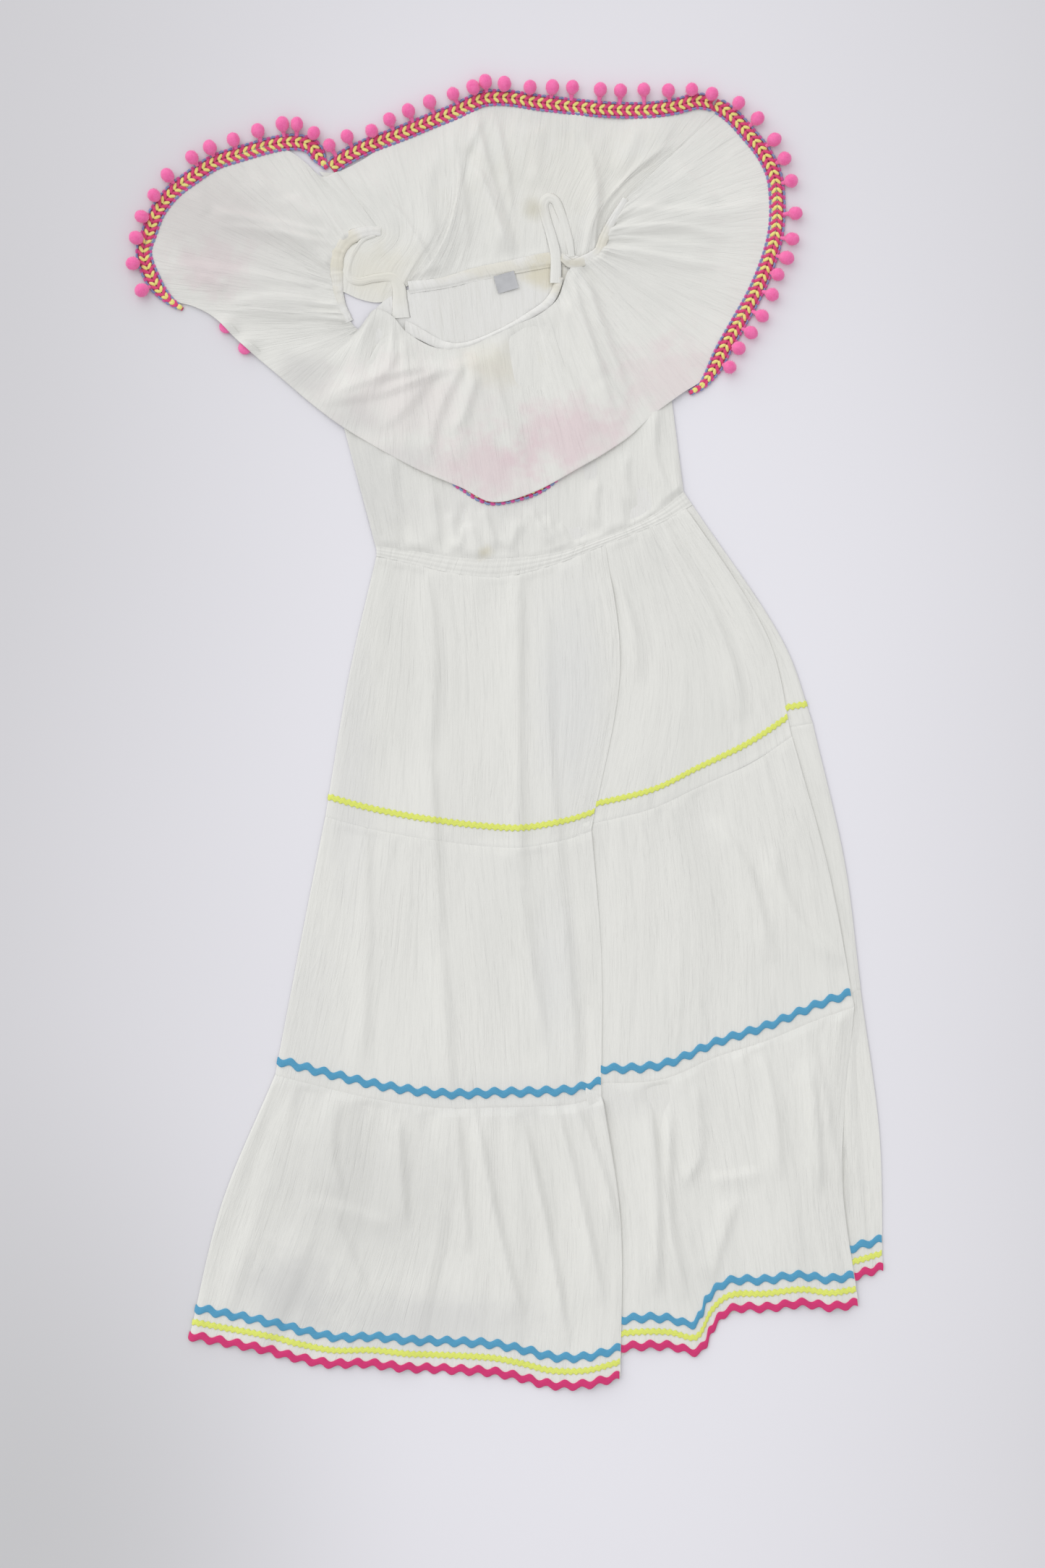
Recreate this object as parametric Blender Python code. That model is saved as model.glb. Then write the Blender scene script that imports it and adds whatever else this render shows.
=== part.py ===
"""Girl's fit and flare dress of crinkled white cotton, laid flat with its front up.

The tables give places on the laid-out dress in millimetres: X to the right, Y towards
the neck, Z up from the surface that it lies on. The origin is the middle of the base.
Every cloth piece is a wall between two faces of one laid sheet, and each trim is made
from its panel's points, moved out.
"""

import math
from collections import namedtuple

import bmesh
import bpy
from mathutils import Vector

MM = 0.001

# Cloth and clearances, in millimetres.
CLOTH = 1.0
SEAM_GAP = 0.5
FOLD_SEAM_GAP = 2.6
LAY_GAP = 0.3
CASING_THICKNESS = 1.5
STRAP_THICKNESS = 1.0
LABEL_THICKNESS = 0.5

# Heights of the middle of each layer.
FLOOR_LAYER = CLOTH / 2
FRONT_LAYER = FLOOR_LAYER + CLOTH + LAY_GAP
TOP_LAYER = FRONT_LAYER + CLOTH + LAY_GAP
TUCKED_BRAID_HEIGHT = TOP_LAYER + 0.3
HIGHEST_FRONT = FRONT_LAYER + 3.2

# How far a deep pleat bulges where it turns back under itself.
FOLD_REACH = 0.5

# Moves the tables' places so that the origin is the middle of the base.
CENTRE_SHIFT = Vector((0.65, 1.3, 0.0))

# Gathers stand up beside an elastic or a gathered seam and die away from it.
GATHER_HEIGHT = 0.9
FLOUNCE_GATHER_HEIGHT = 0.6
GATHER_REACH = 0.35

# Trims.
TRIM_GAP = 0.6
BRAID_WIDTH = 13.0
BRAID_THICKNESS = 1.8
TUCKED_BRAID_THICKNESS = 1.1
BRAID_STEP = 12.5
BACK_STEP = 20.0
POMPOM_RADIUS = 6.4
POMPOM_SEGMENTS = 6
ROOT_RADIUS = 0.7
YELLOW_STEP = 14.0
RICKRACK_PITCH = 16.0
RICKRACK_SWING = 2.3
RICKRACK_WIDTH = 5.6
BABY_RICKRACK_WIDTH = 5.0
RICKRACK_THICKNESS = 0.9
PLEAT_CLEARANCE = 3.5
TIER_YELLOW_RISE = 18.0
TIER_BLUE_RISE = 13.0
HEM_BLUE_RISE = 26.0
HEM_YELLOW_RISE = 13.5
HEM_PINK_RISE = 1.0

# A station is one line down a panel: its top, middle and low end, how high it is lifted
# there, and the width turned under at a deep pleat that starts just after it.
Station = namedtuple("Station", "top_x top_y mid_x mid_y low_x low_y lift pleat")

TOP_TIER = (
    Station(-116, 158, -140, 54, -162, -76, 0.0, 0),
    Station(-98, 154, -115, 48, -129, -85, 0.0, 0),
    Station(-71, 147, -64, 41, -66, -96, 0.0, 0),
    Station(-32, 140, -25, 34, -29, -102, 0.0, 0),
    Station(15, 140, 14, 33, 15, -104, 0.0, 0),
    Station(30, 145, 33, 33, 36, -101, 0.5, 0),
    Station(66, 159, 75, 37, 57, -96, 2.9, 0),
    Station(90, 167, 103, 57, 77, -89, 3.0, 1),
    Station(81, 164, 92, 58, 65, -85, 0.0, 0),
    Station(118, 179, 147, 54, 131, -69, 0.0, 0),
    Station(134, 186, 189, 63, 196, -40, 0.3, 0),
    Station(149, 193, 214, 73, 231, -20, 2.9, 0),
    Station(162, 200, 236, 83, 257, -4, 3.0, 1),
    Station(155, 196, 223, 86, 243, 2, 0.0, 0),
    Station(168, 204, 251, 78, 276, 8, 0.0, 0),
)

MIDDLE_TIER = (
    Station(-162, -76, -185, -193, -207, -308, 0.0, 0),
    Station(-129, -85, -144, -206, -168, -318, 0.0, 0),
    Station(-90, -93, -100, -216, -110, -331, 0.0, 0),
    Station(-64, -97, -58, -210, -51, -338, 0.0, 0),
    Station(-25, -102, -12, -216, -6, -337, 0.0, 0),
    Station(15, -104, 25, -210, 32, -336, 0.5, 0),
    Station(50, -98, 60, -208, 60, -334, 2.9, 0),
    Station(77, -89, 86, -200, 86, -327, 3.0, 1),
    Station(65, -85, 73, -197, 72, -316, 0.0, 0),
    Station(131, -69, 140, -180, 140, -312, 0.0, 0),
    Station(170, -51, 186, -162, 189, -292, 0.0, 0),
    Station(216, -30, 232, -141, 235, -277, 0.3, 0),
    Station(238, -17, 266, -132, 281, -258, 2.9, 0),
    Station(257, -4, 290, -125, 313, -247, 3.0, 1),
    Station(243, 2, 276, -118, 299, -240, 0.0, 0),
    Station(276, 8, 305, -119, 319, -231, 0.0, 0),
)

BOTTOM_TIER = (
    Station(-207, -308, -255, -424, -284, -543, 0.0, 0),
    Station(-181, -316, -215, -434, -253, -549, 0.0, 0),
    Station(-151, -323, -178, -440, -223, -554, 0.0, 0),
    Station(-125, -329, -148, -447, -192, -562, 0.0, 0),
    Station(-100, -332, -118, -450, -161, -568, 0.0, 0),
    Station(-74, -336, -90, -453, -125, -568, 0.0, 0),
    Station(-50, -338, -61, -455, -86, -572, 0.0, 0),
    Station(-6, -337, -5, -459, -12, -576, 0.0, 0),
    Station(17, -336, 23, -460, 14, -581, 0.0, 0),
    Station(36, -335, 48, -461, 38, -587, 0.5, 0),
    Station(60, -334, 76, -455, 69, -587, 2.9, 0),
    Station(86, -327, 103, -438, 103, -579, 3.0, 1),
    Station(72, -316, 85, -430, 80, -557, 0.0, 0),
    Station(106, -317, 121, -426, 126, -552, 0.0, 0),
    Station(124, -316, 135, -418, 150, -553, 0.0, 0),
    Station(135, -313, 147, -408, 174, -557, 0.0, 0),
    Station(147, -309, 160, -401, 188, -533, 0.0, 0),
    Station(170, -298, 186, -392, 202, -520, 0.0, 0),
    Station(202, -289, 218, -385, 236, -518, 0.0, 0),
    Station(235, -277, 251, -380, 267, -514, 0.3, 0),
    Station(281, -258, 278, -377, 291, -517, 2.9, 0),
    Station(313, -247, 302, -401, 317, -514, 3.0, 1),
    Station(299, -240, 286, -396, 298, -494, 0.0, 0),
    Station(319, -231, 336, -362, 339, -482, 0.0, 0),
)

# The stations that the plain backs share with the fronts.
TOP_BACK_PICKS = (0, 2, 4, 6, 9, 11, 14)
MIDDLE_BACK_PICKS = (0, 2, 4, 6, 9, 11, 15)
BOTTOM_BACK_PICKS = (0, 3, 6, 10, 13, 18, 23)

# A run is one line across a band, from its upper to its lower edge.
Run = namedtuple("Run", "upper_x upper_y lower_x lower_y")

WAIST_CASING = (
    Run(-116, 167, -116, 158),
    Run(-78, 162, -84, 151),
    Run(-44, 157, -49, 143),
    Run(-3, 156, -6, 139),
    Run(49, 162, 46, 151),
    Run(81, 173, 77, 163),
    Run(111, 184, 115, 178),
    Run(137, 198, 144, 190),
    Run(160, 216, 168, 204),
)

BODICE_FRONT = (
    Run(-148, 284, -116, 168),
    Run(-129, 320, -98, 164),
    Run(-110, 354, -81, 162),
    Run(-90, 357, -64, 160),
    Run(-60, 342, -44, 157),
    Run(-34, 344, -22, 156),
    Run(-5, 357, 1, 156),
    Run(29, 373, 30, 160),
    Run(56, 392, 59, 166),
    Run(85, 372, 92, 177),
    Run(118, 340, 127, 193),
    Run(149, 301, 160, 216),
)

BODICE_BACK = (
    Run(-148, 284, -116, 168),
    Run(-142, 333, -98, 164),
    Run(-125, 368, -81, 162),
    Run(-110, 384, -64, 160),
    Run(-86, 393, -44, 157),
    Run(-53, 398, -22, 156),
    Run(-22, 405, 1, 156),
    Run(10, 411, 30, 160),
    Run(56, 416, 59, 166),
    Run(92, 379, 92, 177),
    Run(124, 340, 127, 193),
    Run(149, 301, 160, 216),
)

NECK_CASING_BACK = (
    Run(-88, 405, -86, 394),
    Run(-60, 408, -53, 399),
    Run(-29, 417, -22, 406),
    Run(4, 424, 10, 412),
    Run(40, 431, 45, 418),
    Run(58, 429, 60, 418),
)

NECK_CASING_FRONT = (
    Run(-90, 370, -90, 358.5),
    Run(-82, 366, -79, 353),
    Run(-54, 351, -57, 343.5),
    Run(-38, 350, -36, 345),
    Run(-6, 362, -5, 358),
    Run(23, 379, 28, 374),
    Run(35, 388, 42, 384),
    Run(42, 399, 49, 397),
    Run(44, 408, 52, 408),
)

# The front of the flounce, from its left fold round over the front to its right fold:
# its edge at the neck and sleeve elastic, its outer edge, the height of each, and
# whether the braid lies beside that outer edge or the edge is turned under.
Spoke = namedtuple("Spoke", "inner_x inner_y outer_x outer_y inner_z outer_z braided")

FLOUNCE_FRONT = (
    Spoke(-122, 453, -163, 498, 0.5, 0.5, 0),
    Spoke(-136, 447, -180, 512, 0.5, 0.5, 1),
    Spoke(-142, 442, -194, 522, 0.5, 0.5, 1),
    Spoke(-148, 437, -212, 527, 0.5, 0.5, 1),
    Spoke(-154, 427, -245, 517, 0.5, 0.5, 1),
    Spoke(-157, 414, -292, 491, 0.5, 0.5, 1),
    Spoke(-156, 401, -322, 447, 0.5, 0.5, 1),
    Spoke(-152, 392, -323, 418, 0.5, 0.5, 1),
    Spoke(-147, 379, -306, 391, 0.5, 0.5, 1),
    Spoke(-144, 373, -279, 382, 0.5, 0.5, 0),
    Spoke(-141, 368, -262, 373, 0.5, 0.5, 0),
    Spoke(-138, 364, -238, 350, 0.5, 0.5, 0),
    Spoke(-134, 361, -205, 322, 0.9, 0.5, 0),
    Spoke(-127, 368, -172, 294, 2.6, 2.0, 0),
    Spoke(-118, 377, -148, 276, 3.1, 3.3, 0),
    Spoke(-102, 371, -110, 253, 3.1, 3.9, 0),
    Spoke(-89, 357, -78, 236, 3.1, 4.7, 0),
    Spoke(-60, 342, -40, 220, 3.1, 4.8, 0),
    Spoke(-32, 346, -12, 207, 3.1, 4.8, 0),
    Spoke(1, 360, 23, 215, 3.1, 4.8, 0),
    Spoke(30, 372, 70, 240, 3.1, 4.8, 0),
    Spoke(47, 386, 89, 251, 3.1, 4.4, 0),
    Spoke(53, 400, 111, 266, 3.1, 3.9, 0),
    Spoke(57, 411, 133, 286, 3.1, 3.5, 0),
    Spoke(64, 418, 157, 303, 3.1, 3.3, 1),
    Spoke(73, 424, 181, 320, 3.1, 0.6, 1),
    Spoke(81, 428, 205, 359, 2.6, 0.5, 1),
    Spoke(86, 434, 229, 408, 2.1, 0.5, 1),
    Spoke(89, 444, 243, 451, 1.6, 0.5, 1),
    Spoke(93, 452, 242, 496, 1.2, 0.5, 1),
    Spoke(99, 462, 222, 533, 0.8, 0.5, 1),
    Spoke(109, 479, 201, 556, 0.5, 0.5, 1),
)

# The back of the flounce lies flipped up above the neck. Each row runs from the neck
# and sleeve elastic out to the braid.
Reach = namedtuple("Reach", "neck_x neck_y near_x near_y far_x far_y braid_x braid_y")

FLOUNCE_BACK = (
    Reach(-147, 399, -139, 436, -113, 448, -156, 500),
    Reach(-131, 389, -120, 423, -100, 447, -129, 514),
    Reach(-114, 386, -100, 416, -83, 444, -96, 537),
    Reach(-99, 396, -81, 421, -64, 451, -67, 549),
    Reach(-88, 407, -64, 431, -48, 470, -44, 557),
    Reach(-60, 410, -42, 450, -32, 502, -20, 568),
    Reach(-29, 419, -18, 463, -6, 515, 0, 570),
    Reach(4, 426, 10, 470, 23, 518, 30, 565),
    Reach(40, 433, 43, 476, 59, 518, 61, 562),
    Reach(58, 431, 66, 470, 88, 518, 95, 559),
    Reach(70, 429, 80, 463, 118, 515, 129, 559),
    Reach(77, 431, 86, 470, 137, 524, 163, 566),
    Reach(82, 434, 102, 477, 167, 532, 194, 560),
)

# Braid centre lines, and where each pompom's middle lies beside them.
Place = namedtuple("Place", "x y")

BRAID_LEFT = (
    Place(-290, 380), Place(-302, 388), Place(-313, 400), Place(-322, 418),
    Place(-325, 432), Place(-320, 449), Place(-313, 467), Place(-299, 485),
    Place(-281, 499), Place(-261, 512), Place(-240, 519), Place(-203, 529),
    Place(-186, 530), Place(-174, 526), Place(-167, 516),
)
BRAID_BACK = (
    Place(-157, 507), Place(-148, 514), Place(-125, 526), Place(-96, 537),
    Place(-67, 549), Place(-44, 558), Place(-32, 564), Place(-20, 569),
    Place(0, 570), Place(27, 566), Place(61, 562), Place(95, 559),
    Place(129, 559), Place(152, 562), Place(173, 567), Place(188, 564),
)
BRAID_RIGHT = (
    Place(194, 561), Place(204, 553), Place(216, 540), Place(232, 520),
    Place(241, 501), Place(244, 479), Place(243, 451), Place(237, 426),
    Place(225, 396), Place(209, 367), Place(196, 344), Place(187, 326),
    Place(176, 311), Place(166, 305),
)
BRAID_FRONT = (
    Place(-49, 229), Place(-36, 222), Place(-24, 214), Place(-12, 210),
    Place(8, 213), Place(32, 221), Place(52, 234), Place(70, 243),
)

POMPOMS_LEFT = (
    Place(-326, 396), Place(-334, 420), Place(-331, 443), Place(-326, 462),
    Place(-315, 481), Place(-303, 499), Place(-281, 515), Place(-265, 524),
    Place(-244, 531), Place(-222, 539), Place(-200, 545), Place(-187, 545),
    Place(-172, 537),
)
POMPOMS_BACK = (
    Place(-158, 526), Place(-142, 534), Place(-120, 539), Place(-104, 549),
    Place(-87, 557), Place(-68, 565), Place(-47, 572), Place(-29, 578),
    Place(-18, 583), Place(-1, 581), Place(22, 578), Place(42, 578),
    Place(60, 578), Place(85, 576), Place(103, 575), Place(124, 576),
    Place(146, 575), Place(167, 576), Place(185, 572),
)
POMPOMS_RIGHT = (
    Place(209, 564), Place(226, 550), Place(241, 531), Place(250, 514),
    Place(256, 494), Place(260, 465), Place(257, 442), Place(252, 425),
    Place(244, 410), Place(239, 392), Place(230, 373), Place(220, 358),
    Place(209, 344), Place(201, 327),
)

# Straps: the middle line, the width and the height of each point.
Lace = namedtuple("Lace", "x y z width")

STRAP_LEFT = (
    Lace(-95, 374, 2.5, 8.0), Lace(-95, 392, 2.5, 8.0), Lace(-95, 403, 2.5, 8.0),
    Lace(-102, 409, 2.5, 7.0), Lace(-118, 409, 2.5, 5.5), Lace(-135, 408, 2.5, 5.0),
    Lace(-141, 414, 2.5, 5.0), Lace(-138, 425, 2.5, 5.0), Lace(-133, 434, 2.5, 5.0),
    Lace(-128, 440, 2.5, 5.0),
)
STRAP_RIGHT = (
    Lace(46, 404, 4.0, 8.0), Lace(45, 424, 3.4, 8.0), Lace(41, 443, 2.7, 8.0),
    Lace(34, 460, 2.6, 10.0), Lace(27, 471, 2.6, 12.0), Lace(29, 480, 2.6, 9.0),
    Lace(38, 484, 2.6, 8.0), Lace(46, 479, 2.6, 8.0), Lace(51, 466, 2.6, 8.0),
    Lace(56, 450, 2.8, 8.0), Lace(59, 438, 3.4, 6.0),
)
SLEEVE_CASING_LEFT = (
    Lace(-119, 452, 2.8, 7.0), Lace(-132, 449, 2.8, 9.0), Lace(-143, 442, 2.8, 9.0),
    Lace(-150, 431, 2.8, 9.0), Lace(-153, 419, 2.8, 9.0), Lace(-153, 406, 2.8, 9.0),
    Lace(-151, 395, 2.8, 7.0), Lace(-147, 382, 2.8, 6.0), Lace(-142, 372, 2.8, 6.0),
)
SLEEVE_CASING_RIGHT = (
    Lace(67, 424, 5.6, 6.0), Lace(76, 428, 5.3, 6.0), Lace(83, 433, 4.9, 6.0),
    Lace(87, 443, 4.3, 6.0), Lace(92, 454, 3.8, 6.0), Lace(99, 466, 3.3, 6.0),
    Lace(107, 480, 2.9, 5.0),
)

LABEL_CENTRE = Place(0.5, 404)
LABEL_SIZE = Place(19.0, 16.0)
LABEL_TILT = math.radians(16.0)

# Soft folds: a ridge of this width and height along three points of the laid dress.
Crease = namedtuple("Crease", "start_x start_y mid_x mid_y end_x end_y width height")

SKIRT_CREASES = (
    Crease(-71, 140, -63, 73, -67, -24, 9, 1.5),
    Crease(-67, -24, -64, -97, -58, -187, 9, 1.8),
    Crease(-58, -187, -54, -250, -50, -325, 9, 1.4),
    Crease(12, 138, 12, -24, 15, -138, 8, 1.8),
    Crease(15, -138, 24, -210, 34, -275, 9, 1.5),
    Crease(36, 110, 40, -24, 52, -150, 9, 1.2),
    Crease(52, -150, 58, -220, 64, -300, 8, 1.3),
    Crease(140, 187, 186, 106, 216, 19, 9, 1.9),
    Crease(163, 197, 200, 140, 232, 72, 9, 1.3),
    Crease(98, 138, 113, 99, 120, 50, 8, 1.2),
    Crease(-126, -90, -124, -187, -129, -300, 9, 1.2),
    Crease(192, -82, 216, -121, 239, -201, 8, 1.9),
    Crease(239, -110, 261, -166, 300, -205, 8, 1.9),
    Crease(-151, -330, -156, -374, -148, -416, 9, 1.7),
    Crease(-176, -421, -153, -426, -105, -441, 8, 1.2),
    Crease(-158, -427, -139, -470, -126, -505, 9, 1.3),
    Crease(-22, -350, -12, -438, -1, -505, 8, 1.8),
    Crease(47, -350, 68, -428, 84, -500, 8, 1.9),
    Crease(30, -345, 52, -420, 66, -470, 9, 1.2),
    Crease(124, -320, 133, -386, 141, -449, 9, 1.8),
    Crease(141, -449, 154, -485, 168, -535, 10, 1.7),
    Crease(228, -283, 240, -325, 246, -397, 8, 1.7),
    Crease(183, -401, 205, -399, 228, -395, 6, 1.0),
    Crease(207, -422, 190, -470, 187, -490, 8, 1.5),
    Crease(272, -270, 288, -340, 299, -400, 9, 1.4),
)

BODICE_CREASES = (
    Crease(-48, 196, -46, 182, -44, 162, 6, 1.4),
    Crease(-31, 186, -27, 174, -20, 158, 6, 1.3),
    Crease(14, 188, 9, 178, 3, 164, 7, 1.6),
    Crease(38, 192, 43, 180, 50, 166, 7, 1.6),
    Crease(-140, 240, -128, 210, -114, 178, 6, 1.2),
    Crease(136, 290, 134, 250, 146, 214, 6, 1.5),
)

FLOUNCE_FRONT_CREASES = (
    Crease(-300, 421, -240, 412, -176, 400, 9, 1.6),
    Crease(-262, 470, -215, 455, -174, 438, 9, 1.6),
    Crease(-225, 500, -195, 480, -166, 460, 9, 1.4),
    Crease(-245, 385, -205, 391, -172, 388, 9, 1.2),
    Crease(-95, 345, -120, 310, -165, 296, 9, 1.5),
    Crease(-60, 330, -90, 290, -118, 270, 9, 1.3),
    Crease(-30, 335, -34, 290, -44, 240, 9, 1.0),
    Crease(30, 362, 60, 310, 84, 262, 9, 1.4),
    Crease(46, 395, 76, 358, 92, 316, 9, 1.7),
    Crease(92, 316, 100, 300, 112, 280, 9, 1.4),
    Crease(112, 470, 180, 467, 234, 478, 9, 1.7),
    Crease(160, 440, 200, 400, 215, 370, 10, 1.0),
)

FLOUNCE_BACK_CREASES = (
    Crease(-24, 505, -8, 462, 2, 436, 7, 1.7),
    Crease(-36, 524, -14, 480, 2, 432, 7, 1.2),
    Crease(88, 540, 84, 500, 78, 462, 9, 1.2),
    Crease(96, 470, 120, 495, 160, 525, 8, 1.8),
    Crease(-156, 500, -132, 472, -112, 452, 8, 1.8),
)

NO_CREASES = ()


def clear_scene():
    """Remove every object that the file opens with."""
    for leftover in list(bpy.data.objects):
        bpy.data.objects.remove(leftover, do_unlink=True)


def make_finish(name, colour, roughness=0.9, sheen=0.2):
    """A cloth finish of one colour."""
    finish = bpy.data.materials.new(name)
    finish.use_nodes = True
    shader = finish.node_tree.nodes["Principled BSDF"]
    shader.inputs["Base Color"].default_value = (*colour, 1.0)
    shader.inputs["Roughness"].default_value = roughness
    shader.inputs["Metallic"].default_value = 0.0
    shader.inputs["Sheen Weight"].default_value = sheen
    return finish


def white_cotton(name):
    """Crinkled cotton, very slightly warm."""
    return make_finish(name + "_cotton", (0.78, 0.78, 0.75))


def label_grey(name):
    """Satin of the neck label."""
    return make_finish(name + "_satin", (0.47, 0.47, 0.47), 0.6)


def pompom_pink(name):
    """Acrylic yarn of the braid and its pompoms."""
    return make_finish(name + "_yarn", (0.80, 0.07, 0.30))


TRIM_COLOURS = {
    "yellow": (0.72, 0.80, 0.05),
    "blue": (0.05, 0.28, 0.52),
    "pink": (0.68, 0.02, 0.16),
}


def trim_colour(shade):
    """A finish maker for rickrack of one shade."""
    return lambda name: make_finish(name + "_tape", TRIM_COLOURS[shade], 0.8)


def knot_gap(first, second):
    """Distance between two control points, to the power that keeps a curve from looping."""
    return max((second - first).length, 0.01) ** 0.5


def curve_between(before, start, end, after, share):
    """Point at a share of the way from start to end on the curve through four points."""
    t_start = knot_gap(before, start)
    t_end = t_start + knot_gap(start, end)
    t_after = t_end + knot_gap(end, after)
    t = t_start + share * (t_end - t_start)
    a1 = before.lerp(start, t / t_start)
    a2 = start.lerp(end, (t - t_start) / (t_end - t_start))
    a3 = end.lerp(after, (t - t_end) / (t_after - t_end))
    b1 = a1.lerp(a2, t / t_end)
    b2 = a2.lerp(a3, (t - t_start) / (t_after - t_start))
    return b1.lerp(b2, (t - t_start) / (t_end - t_start))


def along(points, position):
    """Point on the smooth curve through points, position counted in spans."""
    last = len(points) - 1
    index = min(max(int(position), 0), last - 1)
    start = points[index]
    end = points[index + 1]
    before = points[index - 1] if index else start + (start - end)
    after = points[index + 2] if index + 2 <= last else end + (end - start)
    return curve_between(before, start, end, after, position - index)


def spaced(points, step):
    """Points about one step apart on the smooth curve through points."""
    result = [points[0]]
    for index in range(len(points) - 1):
        pieces = max(1, round((points[index + 1] - points[index]).length / step))
        for piece in range(1, pieces + 1):
            result.append(along(points, index + piece / pieces))
    return result


def fine_line(points):
    """The smooth curve through points, in short steps, for neighbours to share."""
    return spaced(points, 3.0)


def snapped(point, line):
    """The place on a shared line nearest to a point, at the point's own height."""
    best = None
    for start, end in zip(line, line[1:]):
        run_x = end.x - start.x
        run_y = end.y - start.y
        length = run_x * run_x + run_y * run_y
        share = ((point.x - start.x) * run_x + (point.y - start.y) * run_y) / length
        share = min(max(share, 0.0), 1.0)
        place = Vector((start.x + run_x * share, start.y + run_y * share, point.z))
        distance = (place - point).length
        if best is None or distance < best[0]:
            best = (distance, place)
    return best[1]


def smooth_share(share):
    """Ease from 0 to 1."""
    share = min(max(share, 0.0), 1.0)
    return share * share * (3.0 - 2.0 * share)


def segment_distance(x, y, x1, y1, x2, y2):
    """Distance from a place to a straight stretch, and how far along it that is."""
    run_x = x2 - x1
    run_y = y2 - y1
    share = ((x - x1) * run_x + (y - y1) * run_y) / (run_x * run_x + run_y * run_y)
    share = min(max(share, 0.0), 1.0)
    return math.hypot(x - x1 - share * run_x, y - y1 - share * run_y), share


def crease_height(creases, x, y):
    """How much the soft folds raise the cloth at one place."""
    height = 0.0
    for fold in creases:
        first, share_1 = segment_distance(
            x, y, fold.start_x, fold.start_y, fold.mid_x, fold.mid_y)
        second, share_2 = segment_distance(
            x, y, fold.mid_x, fold.mid_y, fold.end_x, fold.end_y)
        distance = min(first, second)
        if distance > 3.0 * fold.width:
            continue
        share = share_1 / 2 if first < second else 0.5 + share_2 / 2
        fade = smooth_share(5.0 * min(share, 1.0 - share) + 0.25)
        height += fold.height * fade * math.exp(-((distance / fold.width) ** 2))
    return height


def above_floor(point):
    """The same place, no lower than the floor."""
    return Vector((point.x, point.y, max(point.z, 0.0)))


class Sheet:
    """A laid sheet: rows of points from its top to its low edge, columns from left to right."""

    def __init__(self, rows):
        self.rows = rows
        self.normals = self.find_normals()

    def find_normals(self):
        """Unit normals at the sheet's points, pointing mostly up."""
        normals = []
        upward = 0.0
        row_last = len(self.rows) - 1
        for i, row in enumerate(self.rows):
            line = []
            for j in range(len(row)):
                right = row[min(j + 1, len(row) - 1)] - row[max(j - 1, 0)]
                down = self.rows[min(i + 1, row_last)][j] - self.rows[max(i - 1, 0)][j]
                normal = down.cross(right).normalized()
                upward += normal.z
                line.append(normal)
            normals.append(line)
        if upward < 0.0:
            normals = [[-normal for normal in line] for line in normals]
        return normals

    def at(self, row, column):
        """Point and normal at a place between the sheet's points, counted in points."""
        i = min(max(int(math.floor(row)), 0), len(self.rows) - 2)
        j = min(max(int(math.floor(column)), 0), len(self.rows[0]) - 2)
        down = row - i
        right = min(column - j, 1.0)
        left_edge = self.rows[i][j].lerp(self.rows[i + 1][j], down)
        right_edge = self.rows[i][j + 1].lerp(self.rows[i + 1][j + 1], down)
        share = min(max(down, 0.0), 1.0)
        left_up = self.normals[i][j].lerp(self.normals[i + 1][j], share)
        right_up = self.normals[i][j + 1].lerp(self.normals[i + 1][j + 1], share)
        return left_edge.lerp(right_edge, right), left_up.lerp(right_up, right).normalized()

    def row_at_rise(self, column, rise):
        """Row position that lies a given rise above the low edge in one column."""
        left_over = rise
        top, _ = self.at(0, column)
        position = float(len(self.rows) - 1)
        lower, _ = self.at(position, column)
        if rise <= 0.0:
            upper, _ = self.at(position - 1.0, column)
            return position - rise / (lower - upper).length
        while position > 0.0:
            upper, _ = self.at(position - 1.0, column)
            length = (lower - upper).length
            if length >= left_over:
                return position - left_over / length
            left_over -= length
            position -= 1.0
            lower = upper
        return position if top else 0.0

    def faces_apart(self, thickness, flat_base):
        """The wall's upper and lower faces."""
        half = thickness / 2
        upper = []
        lower = []
        for line, ups in zip(self.rows, self.normals):
            if flat_base:
                upper.append([point + Vector((0.0, 0.0, half)) for point in line])
                lower.append([Vector((point.x, point.y, 0.0)) for point in line])
            else:
                upper.append([point + up * half for point, up in zip(line, ups)])
                lower.append([above_floor(point - up * half) for point, up in zip(line, ups)])
        return upper, lower


def add_object(name, mesh, material):
    """Place a finished mesh as one named piece."""
    mesh.materials.append(material(name))
    for face in mesh.polygons:
        face.use_smooth = True
    piece = bpy.data.objects.new(name, mesh)
    bpy.context.scene.collection.objects.link(piece)
    return piece


def closed_mesh(name, vertices, faces):
    """A mesh in metres from points in millimetres, with its faces turned outward."""
    shape = bmesh.new()
    points = [shape.verts.new((vertex + CENTRE_SHIFT) * MM) for vertex in vertices]
    for face in faces:
        shape.faces.new([points[index] for index in face])
    bmesh.ops.recalc_face_normals(shape, faces=shape.faces)
    bmesh.ops.triangulate(shape, faces=shape.faces)
    mesh = bpy.data.meshes.new(name)
    shape.to_mesh(mesh)
    shape.free()
    return mesh


def wall_mesh(name, upper, lower):
    """Closed wall between two faces that have the same rows and columns."""
    row_count = len(upper)
    column_count = len(upper[0])
    vertices = [point for line in upper for point in line]
    vertices += [point for line in lower for point in line]
    shift = row_count * column_count
    faces = []
    for i in range(row_count - 1):
        for j in range(column_count - 1):
            corner = i * column_count + j
            quad = (corner, corner + 1, corner + column_count + 1, corner + column_count)
            faces.append(quad)
            faces.append(tuple(index + shift for index in reversed(quad)))
    border = [j for j in range(column_count)]
    border += [(i + 1) * column_count - 1 for i in range(1, row_count)]
    border += [shift - 1 - j for j in range(1, column_count)]
    border += [i * column_count for i in range(row_count - 2, 0, -1)]
    for here, there in zip(border, border[1:] + border[:1]):
        faces.append((there, here, here + shift, there + shift))
    return closed_mesh(name, vertices, faces)


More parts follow.
